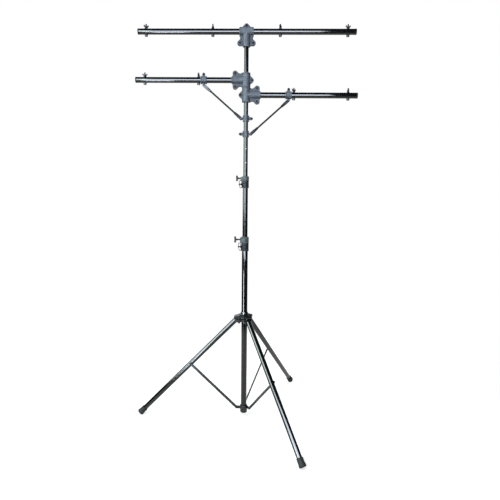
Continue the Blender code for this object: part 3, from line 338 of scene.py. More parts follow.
def wire_loop(path, radius, sides=16):
    """A closed round wire: a circle of the radius carried along a path, square to it everywhere."""
    along = np.roll(path, -1, 0) - np.roll(path, 1, 0)
    along /= np.linalg.norm(along, axis=1, keepdims=True)
    least = np.eye(3)[np.argmin(np.abs(along).max(0))]
    side = np.cross(along, least)
    side /= np.linalg.norm(side, axis=1, keepdims=True)
    up = np.cross(along, side)
    a = np.linspace(0, 2 * np.pi, sides, endpoint=False)[None, :, None]
    ring = path[:, None] + radius * (np.cos(a) * side[:, None] + np.sin(a) * up[:, None])
    return grid_shell(ring, around=True, along=True)


def smooth_max(a, b, width):
    """The larger of two heights, blended where they differ by less than width, like a cast fillet:
    max(a, b) + (width - |a - b|)^2 / (4 width)."""
    gap = np.clip(width - np.abs(a - b), 0, None)
    return np.maximum(a, b) + gap ** 2 / (4 * width)


def stepped(value, edge, width):
    """0 below an edge and 1 above it, eased over a width by 3t^2 - 2t^3."""
    t = np.clip((value - edge) / width + 0.5, 0, 1)
    return t * t * (3 - 2 * t)


def barrel(across, radius):
    """The height of a round barrel: the square root of radius^2 - across^2."""
    return np.sqrt(np.clip(radius ** 2 - across ** 2, 0, None))


def relief(outline, centre, height, floor, rim, spokes=520, rings=46):
    """Half of a casting. Its outline is seen from the front, and each point is
    centre + s (edge - centre); the height is a function of that point, eased down by a quarter
    circle within rim of the edge. The wall falls straight to the floor, and a flat face closes it
    there. Height becomes -Y."""
    outline = wound(softened(outline, 0.0012, 5))
    step = np.linalg.norm(np.roll(outline, -1, 0) - outline, axis=1)
    length = np.concatenate([[0], np.cumsum(step)])
    closed = np.concatenate([outline, outline[:1]])
    at = np.linspace(0, length[-1], spokes, endpoint=False)
    edge = np.stack([np.interp(at, length, closed[:, i]) for i in (0, 1)], axis=1)
    centre = np.asarray(centre, float)
    out = edge - centre
    reach = np.linalg.norm(out, axis=1)
    slope = np.clip(-(out * inward(edge)).sum(1) / reach, 0.25, 1)
    near = rim * np.array([0, 0.04, 0.15, 0.35, 0.62, 1.0])
    s = 1 - near[:, None] / (reach * slope)[None]
    inner = np.linspace(1, 0, rings + 1)[1:, None] * s[-1][None]
    s = np.concatenate([s, inner])
    points = centre + s[..., None] * out[None]
    depth = np.clip((1 - s) * reach * slope, 0, rim)
    high = height(points[..., 0], points[..., 1]) - (rim - np.sqrt(rim ** 2 - (rim - depth) ** 2))
    face = np.stack([points[..., 0], -high, points[..., 1]], axis=-1)
    back = np.stack([edge[:, 0], np.full(spokes, -floor), edge[:, 1]], axis=-1)[None]
    hub = np.broadcast_to(np.array([centre[0], -floor, centre[1]]), (1, spokes, 3))
    return grid_shell(np.concatenate([hub, back, face])[::-1], along=True)


# Pieces

def linked(name, data):
    """A new object in the scene."""
    obj = bpy.data.objects.new(name, data)
    bpy.context.scene.collection.objects.link(obj)
    return obj


def meshed(name, shell):
    """A shell as an object, its points at the same place merged."""
    mesh = bpy.data.meshes.new(name)
    mesh.from_pydata(shell[0].tolist(), [], shell[1].tolist())
    work = bmesh.new()
    work.from_mesh(mesh)
    bmesh.ops.remove_doubles(work, verts=work.verts, dist=MERGE)
    bmesh.ops.dissolve_degenerate(work, edges=work.edges, dist=SHORTEST)
    work.to_mesh(mesh)
    work.free()
    return linked(name, mesh)


def cut_hole(obj, shell):
    """Cuts a shell out of a piece."""
    cutter = meshed("hole", shell)
    step = obj.modifiers.new("Hole", "BOOLEAN")
    step.operation = "DIFFERENCE"
    step.solver = "EXACT"
    step.object = cutter
    depsgraph = bpy.context.evaluated_depsgraph_get()
    obj.data = bpy.data.meshes.new_from_object(obj.evaluated_get(depsgraph))
    obj.modifiers.clear()
    bpy.data.objects.remove(cutter)


def body_of(node):
    """The body that a CAD node rides on."""
    for body, members in frame["record"]["behaviour"]["bodies"].items():
        if node in members:
            return body
    raise RuntimeError("no body holds " + node)


def piece(name, shell, finish, node, holes=()):
    """A finished piece: its mesh and finish, and the CAD node that it stands for and rides with."""
    obj = meshed(name, shell)
    for hole in holes:
        cut_hole(obj, hole)
    obj.data.shade_smooth()
    obj.data.set_sharp_from_angle(angle=SHARP)
    obj.data.materials.clear()
    obj.data.materials.append(finish)
    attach(obj, body_of(node))
    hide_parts(node)


def dress(node, finish):
    """Gives a CAD node that keeps its own shape its finish."""
    obj = frame["nodes"][node]
    obj.data.materials.clear()
    obj.data.materials.append(finish)


# Shader nodes

class Nodes:
    """The node tree of a material or world, with short ways to add nodes. A value is a number, a
    colour or another node's output."""

    def __init__(self, owner):
        owner.use_nodes = True
        self.tree = owner.node_tree

    def feed(self, inputs, values):
        """Gives each named or numbered input its value."""
        for key, value in values.items():
            if isinstance(value, bpy.types.NodeSocket):
                self.tree.links.new(value, inputs[key])
            else:
                inputs[key].default_value = value

    def add(self, kind, values, **settings):
        """The outputs of a new node."""
        node = self.tree.nodes.new("ShaderNode" + kind)
        for name, setting in settings.items():
            setattr(node, name, setting)
        self.feed(node.inputs, values)
        return node.outputs

    def between(self, value, low, high, new_low=0.0, new_high=1.0, **settings):
        """Maps a value's range onto another, clamped."""
        return self.add("MapRange", {"Value": value, "From Min": low, "From Max": high,
                                     "To Min": new_low, "To Max": new_high}, **settings)["Result"]

    def mix(self, kind, factor, first, second):
        """A FLOAT or RGBA value between two others. A Mix node has a factor, and for each kind a
        pair of inputs and a result, known by number."""
        pair, result = {"FLOAT": ((2, 3), 0), "RGBA": ((6, 7), 2)}[kind]
        values = {0: factor, pair[0]: first, pair[1]: second}
        return self.add("Mix", values, data_type=kind)[result]

    def blend(self, factor, first, second):
        """A colour between two others."""
        first, second = ((*c, 1) if isinstance(c, tuple) else c for c in (first, second))
        return self.mix("RGBA", factor, first, second)

    def coordinate(self, vector, axis):
        return self.add("SeparateXYZ", {0: vector})[axis]


class Finish(Nodes):
    """A Principled material under construction."""

    def __init__(self, name, colour, roughness, metallic=0.0, specular=0.5):
        self.material = bpy.data.materials.new(name)
        super().__init__(self.material)
        self.inputs = self.tree.nodes["Principled BSDF"].inputs
        self.feed(self.inputs, {"Base Color": (*colour, 1), "Roughness": roughness,
                                "Metallic": metallic, "Specular IOR Level": specular})
        self.place = self.add("TexCoord", {})["Object"]

    def noise(self, size, detail, rough=0.55, stretch=(1, 1, 1)):
        """Noise whose features are about size metres across, drawn out along an axis by stretch."""
        place = self.add("Mapping", {"Vector": self.place, "Scale": stretch})["Vector"]
        return self.add("TexNoise", {"Vector": place, "Scale": 1 / size, "Detail": detail,
                                     "Roughness": rough})["Fac"]

    def colour(self, factor, first, second):
        """Makes the colour vary between two others."""
        self.feed(self.inputs, {"Base Color": self.blend(factor, first, second)})

    def rough(self, value, low, high, least, most):
        """Makes the roughness follow a value."""
        self.feed(self.inputs, {"Roughness": self.between(value, low, high, least, most)})

    def bump(self, height, distance, strength):
        """Raises the surface by a height between 0 and 1 times distance."""
        values = {"Height": height, "Distance": distance, "Strength": strength}
        if self.inputs["Normal"].links:
            values["Normal"] = self.inputs["Normal"].links[0].from_socket
        self.feed(self.inputs, {"Normal": self.add("Bump", values)["Normal"]})


# Finishes


def shade(colour, factor):
    return tuple(min(1.0, c * factor) for c in colour)


@functools.cache
def gloss_paint(name, roughness, haze, specular=0.4):
    """Black stove enamel: an even gloss with slight orange peel, faint cloudy haze and dust."""
    colour = colour_of("paint")
    finish = Finish(name, colour, roughness, specular=specular)
    cloud = finish.noise(0.09, 3)
    speck = finish.between(finish.noise(0.0016, 2), 0.66, 0.74)
    base = finish.blend(finish.between(cloud, 0.35, 0.7), colour, shade(colour, 1.0 + haze))
    finish.colour(finish.between(speck, 0, 1, 0, 0.25), base, (0.03, 0.033, 0.036))
    finish.rough(cloud, 0.3, 0.75, roughness * 0.85, roughness * 1.25)
    finish.bump(finish.noise(0.012, 1), 0.00002, 0.15)
    return finish.material


@functools.cache
def cast_metal(name, colour, roughness=0.36, flange=None):
    """Painted sand casting: grainy surface, slow mottling and lighter rubbed patches. Up to the
    flange's height from the middle plane it is darker, a painted shade on the flat flanges that
    leaves the barrels lighter."""
    finish = Finish(name, colour, roughness, specular=0.05)
    mottle = finish.noise(0.012, 4)
    rub = finish.between(finish.noise(0.005, 5, 0.65), 0.58, 0.72)
    base = finish.blend(finish.between(mottle, 0.35, 0.68), shade(colour, 0.80),
                        shade(colour, 1.15))
    if flange:
        # Painted shade: the flanges, up to the flange's height from the middle plane, darker than
        # the barrels
        away = finish.coordinate(finish.place, "Y")
        away = finish.add("Math", {0: away}, operation="ABSOLUTE")[0]
        painted_flange_shade = finish.blend(mottle, shade(colour, 0.40), shade(colour, 0.62))
        base = finish.blend(finish.between(away, flange, flange * 1.9), painted_flange_shade, base)
    finish.colour(finish.between(rub, 0, 1, 0, 0.35), base, shade(colour, 1.7))
    finish.rough(mottle, 0.3, 0.7, roughness * 0.85, roughness * 1.2)
    finish.bump(finish.noise(sizes().grain, 3, 0.6), 0.00018, 0.55)
    finish.bump(finish.noise(0.006, 2), 0.0003, 0.25)
    return finish.material


@functools.cache
def moulded_plastic():
    """Matte moulded plastic with a fine spark-eroded grain and handled, shinier patches."""
    colour = colour_of("plastic")
    finish = Finish("moulded_plastic", colour, 0.5, specular=0.12)
    worn = finish.between(finish.noise(0.007, 3), 0.4, 0.65)
    finish.colour(worn, colour, shade(colour, 1.6))
    finish.rough(worn, 0, 1, 0.58, 0.42)
    finish.bump(finish.noise(0.0005, 2), 0.00006, 0.6)
    return finish.material


@functools.cache
def foot_rubber():
    """Dusty rubber: dull, mottled, paler where it has picked up floor dust."""
    colour = colour_of("rubber")
    finish = Finish("foot_rubber", colour, 0.75, specular=0.15)
    dust = finish.between(finish.noise(0.006, 5, 0.7), 0.45, 0.72)
    finish.colour(dust, colour, (0.036, 0.045, 0.045))
    finish.rough(dust, 0, 1, 0.68, 0.9)
    finish.bump(finish.noise(0.0009, 3), 0.00012, 0.6)
    return finish.material


@functools.cache
def plated_steel(name, colour, roughness=0.34, metallic=0.3, specular=0.15):
    """Plated steel: fine random scratches and duller stained spots."""
    finish = Finish(name, colour, roughness, metallic, specular)
    stain = finish.between(finish.noise(0.004, 4), 0.42, 0.68)
    finish.colour(stain, shade(colour, 1.15), shade(colour, 0.6))
    finish.rough(stain, 0, 1, roughness * 0.8, roughness * 1.5)
    finish.bump(finish.noise(0.0012, 2, stretch=(1, 1, 6)), 0.00003, 0.4)
    return finish.material


def tube_paint():
    return gloss_paint("gloss_black_paint", 0.10, 0.3)


def mast_paint():
    return gloss_paint("satin_black_paint", 0.15, 0.4, 0.22)


def casting_paint():
    return cast_metal("casting_paint", colour_of("casting"), flange=0.0080)


def dark_steel():
    return plated_steel("dark_steel", colour_of("steel"))


def black_steel():
    return plated_steel("black_steel", shade(colour_of("steel"), 0.16), 0.45, 0.0, 0.05)


# Bolts

def bolt_head(radius, height, dome=0.0005):
    """A hexagon head on z = 0, chamfered: the slab's rim is eased by the dome radius."""
    return slab(arc((0, 0), radius, 0, 300, 6), 0, height, dome, (0, 0), 0.0003)


def side_rod(out, height, start, end):
    """A bolt's shank along Y, at a distance from Z and a height."""
    return shifted(rod(BOLT_R, start, end, 24), move(x=out, z=height) @ TO_BACK)


def side_bolt(out, height, start, end):
    """A pivot bolt along Y: round head at its start, hexagon nut at its end."""
    radius, head = 0.0055, 0.0024
    shank = side_rod(out, height, start - 0.001, end + head + 0.0004)
    near = turned([(0, head), (radius * 0.72, head), (radius, head * 0.35), (radius, 0), (0, 0)],
                  32, 0.0006)
    near = shifted(near, move(x=out, y=start, z=height) @ TO_FRONT)
    far = shifted(bolt_head(radius, head), move(x=out, y=end, z=height) @ TO_BACK)
    return joined(shank, near, far)


def socket_bolt(seat):
    """A cylinder head with a hexagon socket, along Z from its seat."""
    radius, top, socket = 0.0047, seat + 0.0040, seat + 0.0018
    points, faces = turned([(0, seat), (radius, seat), (radius, top), (0.0024, top),
                            (0.0022, socket), (0, socket)], 36)
    return points, faces[:, ::-1]


def nut_and_end(seat):
    """A hexagon nut with the bolt's end showing, along Z from its seat."""
    height = 0.0045
    return joined(shifted(bolt_head(0.0054, height), move(z=seat)),
                  rod(BOLT_R, seat, seat + height + 0.001, 24))


def bolt_pair(seat, x=0.0, z=0.0):
    """A bolt's head in front and its nut behind, each at the seat's distance from the middle."""
    site = move(x=x, z=z)
    return shifted(socket_bolt(seat), site @ TO_FRONT), shifted(nut_and_end(seat), site @ TO_BACK)


def cheeks(outline, inside, outside, soft, middle, corner=0.0008):
    """A fork's two upright plates."""
    return [shifted(slab(outline, low, high, soft, middle, corner), TO_FRONT)
            for low, high in ((-outside, -inside), (inside, outside))]


# Mast

def banded_tube(radius, low, high, holes):
    """A mast tube with rings of points close to its holes, so that only narrow bands are cut."""
    bands = [hole + side for hole in holes for side in (-INDEX_BAND, INDEX_BAND)]
    stations = sorted([high, low] + bands, reverse=True)
    outer = [(radius, z) for z in stations]
    inner = [(radius - WALL, z) for z in reversed(stations)]
    return turned(outer + inner, sizes().sides, 0.0003)


def clamp_sizes(name):
    """A mast clamp's heights and radii."""
    bottom, sleeve, head, outer, inner, reach, length = CLAMPS[name]
    radius, split = outer + CLAMP_WALL, bottom + sleeve
    return {"bottom": bottom, "split": split, "top": split + head,
            "tube_end": split + TUBE_SHARE * head, "handle_z": split + HANDLE_SHARE * head,
            "pin_z": bottom + PIN_SHARE * sleeve, "outer": outer, "inner": inner,
            "radius": radius, "eye": radius + EYE_REACH, "handle_x": radius + reach,
            "handle_length": length}


def make_mast():
    """Three tubes with see-through index holes, and the plugs inside them."""
    ends = {"lower": clamp_sizes("lower")["tube_end"], "middle": clamp_sizes("upper")["tube_end"],
            "upper": TOP_Z - BAR_R - 2 * FIT}
    for name, (radius, low, holes) in MAST_TUBES.items():
        cutters = [shifted(rod(INDEX_HOLE_R, -0.05, 0.05), move(z=hole) @ TO_FRONT)
                   for hole in holes]
        piece(name + "_tube", banded_tube(radius, low, ends[name], holes),
              tube_paint() if name == "lower" else mast_paint(), name + "_mast_tube",
              cutters)
    for node in ("middle_guide_plug", "upper_guide_plug"):
        dress(node, moulded_plastic())


def teardrop(radius, nose, reach, count=48):
    """A circle drawn out to -X into a round nose whose tip lies reach past it."""
    centre = radius + reach - nose
    lean = math.degrees(math.acos((radius - nose) / centre))
    big = arc((0, 0), radius, -180 + lean, 180 - lean, count)
    small = arc((-centre, 0), nose, 180 - lean, 180 + lean, count // 2)
    return np.concatenate([big, small])


def lock_handle_shell(tube_radius, clamp):
    """A turned T-handle on a conical neck; its screw runs along -X and ends at the tube."""
    centre, half, tip = clamp["handle_x"], clamp["handle_length"] / 2, tube_radius + FIT
    grip = turned(balanced([(0, half), (0.0044, half), (0.0055, half - 0.0018),
                            (0.0055, half * 0.58), (0.0046, half * 0.26)]), 40, 0.0012, 6)
    neck = turned([(0, centre), (0.0052, centre), (0.0052, centre - 0.0055),
                   (0.0060, centre - 0.0085), (0.0060, centre - 0.0120),
                   (0.0040, centre - 0.0125), (0.0040, tip), (0, tip)], 32)
    return joined(shifted(grip, move(x=-centre)), shifted(neck, TO_LEFT))


def clamp_head_shell(c):
    """A mast clamp's head: a pierced teardrop, a round crown and the nut of the handle's screw."""
    low, r, inner, top = c["split"] + HALF_GAP, c["radius"], c["inner"] + FIT, c["top"]
    body = pierced(teardrop(r, 0.0085, 0.0068), inner, low, top - 0.0038, 0.0011)
    crown = turned([(inner, top), (r - 0.0028, top), (r, top - 0.0028), (r, low + 0.004),
                    (inner, low + 0.004)], sizes().sides, 0.0009, 6)
    nut = turned([(0, r + 0.0090), (0.0052, r + 0.0090), (0.0068, r + 0.0062), (0.0068, r * 0.8),
                  (0, r * 0.8)], 32, 0.0006)
    return joined(body, crown, shifted(nut, move(z=c["handle_z"]) @ TO_LEFT))


def clamp_sleeve_shell(c):
    """A mast clamp's sleeve with two grooves and a foot ring, and the pull pin's boss."""
    bottom, r, bore = c["bottom"], c["radius"], c["outer"] + FIT
    outer, high = r - 0.0005, c["split"] - HALF_GAP
    profile = [(bore, high), (outer, high)]
    for share in (0.36, 0.70):
        groove = high - share * (high - bottom)
        profile += [(outer, groove + 0.001), (outer - 0.001, groove), (outer, groove - 0.001)]
    profile += [(outer, bottom + 0.004), (outer + 0.001, bottom + 0.003),
                (outer + 0.001, bottom + 0.001), (outer, bottom), (bore, bottom)]
    face = r + 0.0070
    boss = turned([(0.0033, face), (0.0050, face), (0.0058, face - 0.0012), (0.0058, face - 0.004),
                   (0.0070, bore + 0.002), (0.0033, bore + 0.002)], 36, 0.0005)
    return joined(turned(profile, sizes().sides, 0.0006, 5),
                  shifted(boss, move(z=c["pin_z"]) @ TO_LEFT))


def pull_pin_shell(c):
    """A pull pin along -X, from the tube to a round knob."""
    shaft = shifted(rod(BOLT_R, c["inner"] + FIT, c["eye"] - 0.001, 28), TO_LEFT)
    knob = turned(balanced([(0, 0.0042), (0.0030, 0.0042), (0.0042, 0.0030)]), 32, 0.0010, 5)
    return shifted(joined(shaft, shifted(knob, move(x=-c["eye"]))), move(z=c["pin_z"]))


def pin_ring_shell(c):
    """A wire ring of two half circles and straight sides, hung from the pin's eye at a slant."""
    rise, half = 0.0110, 0.0110
    loop = np.concatenate([arc((half, rise), half, 180, 0, 25),
                           arc((half, -rise), half, 0, -180, 25)])
    path = np.stack([loop[:, 0], np.zeros(len(loop)), loop[:, 1]], axis=1)
    return shifted(wire_loop(path, 0.0016), move(x=-c["eye"], z=c["pin_z"])
                   @ turn("y", -math.radians(6)) @ around(-52))


def make_mast_clamps():
    """Two clamps: cast head, grooved sleeve, T-handle, pull pin and wire ring."""
    head_finish = cast_metal("clamp_head_paint", colour_of("clamp_head"), 0.42)
    sleeve_finish = cast_metal("clamp_sleeve_paint", colour_of("clamp_sleeve"), 0.40)
    for name in CLAMPS:
        c = clamp_sizes(name)
        handle = shifted(lock_handle_shell(c["inner"], c), move(z=c["handle_z"]))
        for part, shell, finish, node, slot in (
                ("_head", clamp_head_shell(c), head_finish, "_clamp_head", "clamp_head_grey"),
                ("_sleeve", clamp_sleeve_shell(c), sleeve_finish, "_clamp_sleeve",
                 "clamp_sleeve_grey"),
                ("_handle", handle, moulded_plastic(), "_lock_handle", "black_plastic"),
                ("_pin", pull_pin_shell(c), black_steel(), "_pull_pin", "bolt_steel"),
                ("_ring", pin_ring_shell(c), black_steel(), "_pin_ring", "bolt_steel")):
            piece(name + part, shell, finish, name + node)


# Tripod

def at_each_leg(*parts):
    """The parts, repeated round the mast at the three legs' azimuths."""
    return [shifted(part, around(azimuth)) for azimuth in AZIMUTHS.values() for part in parts]


def brace_frame(azimuth):
    """A brace's place: Z runs along it from its pivot on the base collar."""
    return around(azimuth) @ move(PIVOT_R, BRACE_SIDE, BASE_Z) @ turn("y", LINK_ANGLE)


def leg_frame(azimuth):
    """A leg's place: Z runs up along it from its pivot on the brace."""
    return (brace_frame(azimuth) @ move(y=-BRACE_SIDE, z=LINK)
            @ turn("y", -LINK_ANGLE - SPREAD))


def foot_shell():
    """A turned boot: flared side, round edge and a closed end round the tube's."""
    low = LEG_ABOVE - FOOT_END
    high, inner, flare = low + 0.046, LEG_R + FIT, FOOT_R - 0.002
    edge = arc((FOOT_R - FOOT_EDGE, low + FOOT_EDGE), FOOT_EDGE, 0, -90, 10)
    return turned([(inner, high), (flare - 0.0008, high), (flare, high - 0.001),
                   (flare - 0.0002, high - 0.018), (flare + 0.0004, high - 0.030),
                   (FOOT_R, low + 0.0085), *edge, (0, low), (0, low + 0.0055),
                   (inner, low + 0.0055), (inner, high - 0.001)], sizes().sides, 0.0007)


def make_legs():
    """Three legs with their brace bolts, and the rubber boots, pressed flat on the floor."""
    sole, past = 0.006, 0.008
    leg = tube(LEG_R, LEG_ABOVE - FOOT_END + sole, LEG_ABOVE + past)
    washer = shifted(rod(0.0060, LEG_R - WALL, LEG_R + 0.0009), TO_BACK)
    bolt = joined(side_bolt(0, 0, -LEG_R + 0.001, BRACE_SIDE + 0.0018), washer)
    for name, azimuth in AZIMUTHS.items():
        matrix, node = leg_frame(azimuth), "leg_" + name
        piece("leg_tube_" + name, shifted(leg, matrix), tube_paint(), node)
        piece("brace_bolt_" + name, shifted(bolt, matrix), dark_steel(), node)
        boot = shifted(foot_shell(), matrix)
        boot[0][:, 2] = np.maximum(boot[0][:, 2], 0.0)
        piece("boot_" + name, boot, foot_rubber(), "foot_" + name)


def make_tripod_braces():
    """Three flat bars with rounded, pressed ends."""
    outline = np.concatenate([arc((0, LINK), BRACE_R, 0, 180, 24),
                              arc((0, 0), BRACE_R, 180, 360, 24)])
    bar = shifted(slab(outline, -BRACE_HALF, BRACE_HALF, middle=(0, LINK / 2), corner=0.0001),
                  TO_FRONT)
    paint = gloss_paint("brace_paint", 0.34, 1.4)
    for name, azimuth in AZIMUTHS.items():
        piece("flat_brace_" + name, shifted(bar, brace_frame(azimuth)), paint,
              "tripod_brace_" + name)


def make_base_collar():
    """The cup under the mast with three offset lugs and their rivets."""
    outer, bore, inner_floor = LOWER_R + 0.0042, LOWER_R + FIT, 0.0337
    low, high = 0.026, BASE_Z + 0.010
    dome = arc((outer - 0.010, low + 0.010), 0.010, 0, -90, 14)
    cup = turned([(bore, high), (outer - 0.001, high), (outer, high - 0.001), *dome, (0, low),
                  (0, inner_floor), (bore, inner_floor), (bore, high - 0.002)],
                 sizes().sides, 0.0006)
    outside = BRACE_SIDE - BRACE_HALF - FIT
    inside = outside - 0.0040
    nose = arc((PIVOT_R, BASE_Z), 0.009, 90, -90, 20)
    outline = np.array([(outer / 2, high - 0.001), *nose, (outer / 2, BASE_Z - 0.009)])
    lug = shifted(slab(outline, -outside, -inside), TO_FRONT)
    rivet = side_bolt(PIVOT_R, BASE_Z, inside, outside + 0.0036)
    piece("mast_cup", joined(cup, *at_each_leg(lug, rivet)),
          gloss_paint("collar_paint", 0.24, 1.0), "base_collar")


def make_hub():
    """The sliding hub: flared sleeve, three hooded forks, pivot bolts, and a handle on a boss."""
    up, down, bore = 0.0536, 0.0064, LOWER_R + FIT
    outer, lift, handle_z = bore + 0.0055, move(z=HUB_Z), up * 0.26
    sleeve = turned([(bore, up), (outer - 0.003, up), (outer - 0.002, up - 0.002),
                     (outer - 0.001, up * 0.80), (outer, up * 0.62), (outer, -down),
                     (bore, -down)], sizes().sides, 0.0009, 5)
    root, hood, tip = LOWER_R * 0.85, bore + 0.0008, PIVOT_R + 0.0205
    cheek = [(root, up * 0.80), (tip - 0.002, up * 0.53), (tip, up * 0.46),
             (tip - 0.002, up * 0.30), (PIVOT_R + 0.0082, -down), (PIVOT_R - 0.0082, -down * 1.4),
             (root, -down * 0.9)]
    roof = [(hood, up * 0.80), (tip - 0.002, up * 0.53), (tip - 0.0025, up * 0.53 - 0.0040),
            (hood, up * 0.80 - 0.0042)]
    inside = LEG_R + 2 * FIT
    outside = inside + 0.0040
    forks = at_each_leg(*cheeks(cheek, inside, outside, 0.0010, (PIVOT_R, 0.008), 0.0016),
                        shifted(slab(roof, -outside, outside, 0.0012, corner=0.0004), TO_FRONT))
    boss = turned([(0.0043, outer + 0.0068), (0.0072, outer + 0.0068), (0.0085, outer + 0.005),
                   (0.0095, outer - 0.003), (0.0043, outer - 0.003)], 36, 0.0006)
    boss = shifted(boss, move(z=handle_z) @ around(240) @ TO_RIGHT)
    bolts = at_each_leg(side_bolt(PIVOT_R, 0, -outside, outside))
    piece("hub_body", shifted(joined(sleeve, boss, *forks), lift),
          gloss_paint("hub_paint", 0.22, 1.6, 0.8), "tripod_hub")
    piece("hub_bolts", shifted(joined(*bolts), lift), dark_steel(), "tripod_hub")
    piece("hub_handle", shifted(lock_handle_shell(LOWER_R, clamp_sizes("lower")),
                                move(z=HUB_Z + handle_z) @ around(60)),
          moulded_plastic(), "hub_lock_handle")


# Castings and brace clamps, each in two bolted halves

def tangent_angle(point, centre, radius):
    """The angle on a circle, in degrees, where the line from a point on its right touches it on
    top."""
    across, up = point[0] - centre[0], point[1] - centre[1]
    return math.degrees(math.atan2(up, across) + math.acos(radius / math.hypot(across, up)))


def casting_outline():
    """The T casting's edge: domed top ear, straight run, waist and two round side ears."""
    top, side = EARS[0], EARS[1]
    shoulder, edge = (0.023, RUN_BARREL + 0.0021), RUN_HALF - FIT
    waist = side[0] - 0.001
    return mirrored([
        *arc(top, EAR_R, 90, tangent_angle(shoulder, top, EAR_R), 14), shoulder,
        (edge - 0.002, shoulder[1]), (edge, RUN_BARREL), (edge, -RUN_BARREL - 0.0015),
        (waist, -RUN_BARREL - 0.0095), (waist, side[1] + 0.026),
        (side[0] + 0.0015, side[1] + 0.019), *arc(side, SIDE_EAR_R, 62, -100, 26),
        (STEM_BARREL + 0.004, side[1] - 0.0145), (STEM_BARREL + 0.001, side[1] - 0.0165),
        (STEM_BARREL - 0.0005, FIT - STEM)])


def casting_height(u, v):
    """The casting's front: flange, run barrel with end lips, stem barrel with its foot lip, joined
    by fillets, and sunk round the bolts."""
    run_lip = 0.0014 * stepped(np.abs(u), RUN_HALF - 0.005, 0.0012)
    foot_lip = 0.0014 * stepped(-v, STEM - 0.005, 0.0012)
    stem = np.where(v < 0, barrel(u, STEM_BARREL + foot_lip), 0)
    high = smooth_max(np.full_like(u, FLANGE), barrel(v, RUN_BARREL + run_lip), 0.004)
    high = smooth_max(high, stem, 0.004)
    for ear in EARS:
        away = np.hypot(u - ear[0], v - ear[1])
        high = np.where(away < SINK_R, FLANGE - 0.0035, high)
    return high


def cup_ring(face, seat):
    """The machined seat of a bolt: a floor, a wall and a narrow land at the flange's face."""
    return turned([(0, seat), (0.0056, seat), (0.0057, face + 0.00025), (0.0074, face + 0.00025),
                   (0.0076, face - 0.006), (0, face - 0.006)], 44, 0.0003)


def halves(names, node, site, shells, fittings):
    """A casting's front and back halves with the fittings of each."""
    for side, shell, fitting in zip(("_front", "_back"), shells, fittings):
        piece(names[0] + side, shifted(shell, site), casting_paint(), node + side)
        piece(names[1] + side, shifted(fitting, site), black_steel(), node + side)


def make_castings():
    """The crossbar's T casting and the two side castings."""
    seat = FLANGE - 0.0030
    flat = relief(casting_outline(), (0, -0.035), casting_height, floor=0.0002, rim=0.0020)
    rings = [shifted(cup_ring(FLANGE, seat), move(x=x, z=z) @ TO_FRONT) for x, z in EARS]
    front = joined(flat, *rings)
    fittings = [joined(*parts) for parts in zip(*(bolt_pair(seat, x, z) for x, z in EARS))]
    sites = {"top": move(z=TOP_Z)}
    for name, (sign, z) in SIDE_BARS.items():
        sites[name] = move(z=z) @ turn("y", -sign * math.pi / 2)
    for name, site in sites.items():
        halves((name + "_half", name + "_bolts"), name + "_casting", site,
               (front, flipped(front)), fittings)


def brace_clamp_outline(radius):
    """A clamp seen from the front: barrel with raised end lips, bolt ear above, pivot ear below."""
    lip, half = radius + 0.0028, 0.017
    return mirrored([
        *arc((0, PLAIN_EAR), 0.0078, 90, 0, 12), (0.0088, radius + 0.001), (half - 0.0065, radius),
        (half - 0.005, lip), (half, lip), (half, -lip), (half - 0.005, -lip),
        (half - 0.0065, -radius), (0.0068, -radius - 0.001),
        *arc((0, -PIVOT_EAR), 0.0068, 0, -90, 12)])


def brace_clamp_height(radius):
    """The clamp's front: flat ears and a barrel with end lips, joined by fillets."""
    def height(u, v):
        lip = 0.0028 * stepped(np.abs(u), 0.012, 0.0010)
        return smooth_max(np.full_like(u, EAR_HALF), barrel(v, radius + lip), 0.003)
    return height


def make_brace_clamps():
    """Four clamps that carry the arm braces."""
    fittings = bolt_pair(EAR_HALF, z=PLAIN_EAR)
    for name, (sign, z) in SIDE_BARS.items():
        on_mast = move(z=CLAMP_Z[name]) @ turn("y", -sign * math.pi / 2)
        for kind, tube_radius, site in (("bar", BAR_R, move(sign * CLAMP_REACH, 0, z)),
                                        ("mast", UPPER_R, on_mast)):
            radius, label = tube_radius + 0.0030, f"{name}_{kind}_"
            half = relief(brace_clamp_outline(radius), (0, 0), brace_clamp_height(radius),
                          floor=0.0002, rim=0.0008, spokes=300, rings=30)
            halves((label + "grip", label + "grip_bolt"), label + "clamp", site,
                   (half, flipped(half)), fittings)


# Bars, fixture bolts and wing nuts

def bar_bolt_shell():
    """A fixture bolt: hexagon head and washer below the bar, a threaded stud above it. The thread's
    depth is a triangle wave along the stud, turned by the angle round it."""
    low, thickness, height, top = 0.0005 - BAR_R, 0.0027, 0.0085, BAR_R + 0.0245
    pitch, root, depth, sides, rows = 0.00150, 0.0034, 0.0006, 28, 110
    washer = turned([(0, low), (0.0092, low), (0.0092, low - thickness), (0, low - thickness)], 40)
    head = shifted(bolt_head(0.0085, height, 0.0007), move(z=low - thickness - height))
    plain = rod(0.0038, low - 0.002, BAR_R, sides)
    angles = np.linspace(0, 2 * np.pi, sides, endpoint=False)[:, None]
    z = np.linspace(BAR_R - 0.001, top, rows)[None]
    wave = np.abs(((z / pitch - angles / (2 * np.pi)) % 1.0) * 2 - 1)
    end = np.clip((top - z) / 0.0008, 0, 1)
    radius = (root + depth * wave) * (0.75 + 0.25 * end)
    radius[:, -1] = 0
    thread = np.stack([radius * np.cos(angles), radius * np.sin(angles),
                       np.broadcast_to(z, radius.shape)], axis=-1)
    return joined(washer, head, plain, grid_shell(thread, around=True))


def bolt_places():
    """Names and places of all eight fixture bolts."""
    places = [(f"top_{i + 1}", x, TOP_Z) for i, x in enumerate(TOP_BOLTS)]
    for name, (sign, z) in SIDE_BARS.items():
        places += [(f"{name}_{i + 1}", sign * x, z) for i, x in enumerate(SIDE_BOLTS)]
    return places


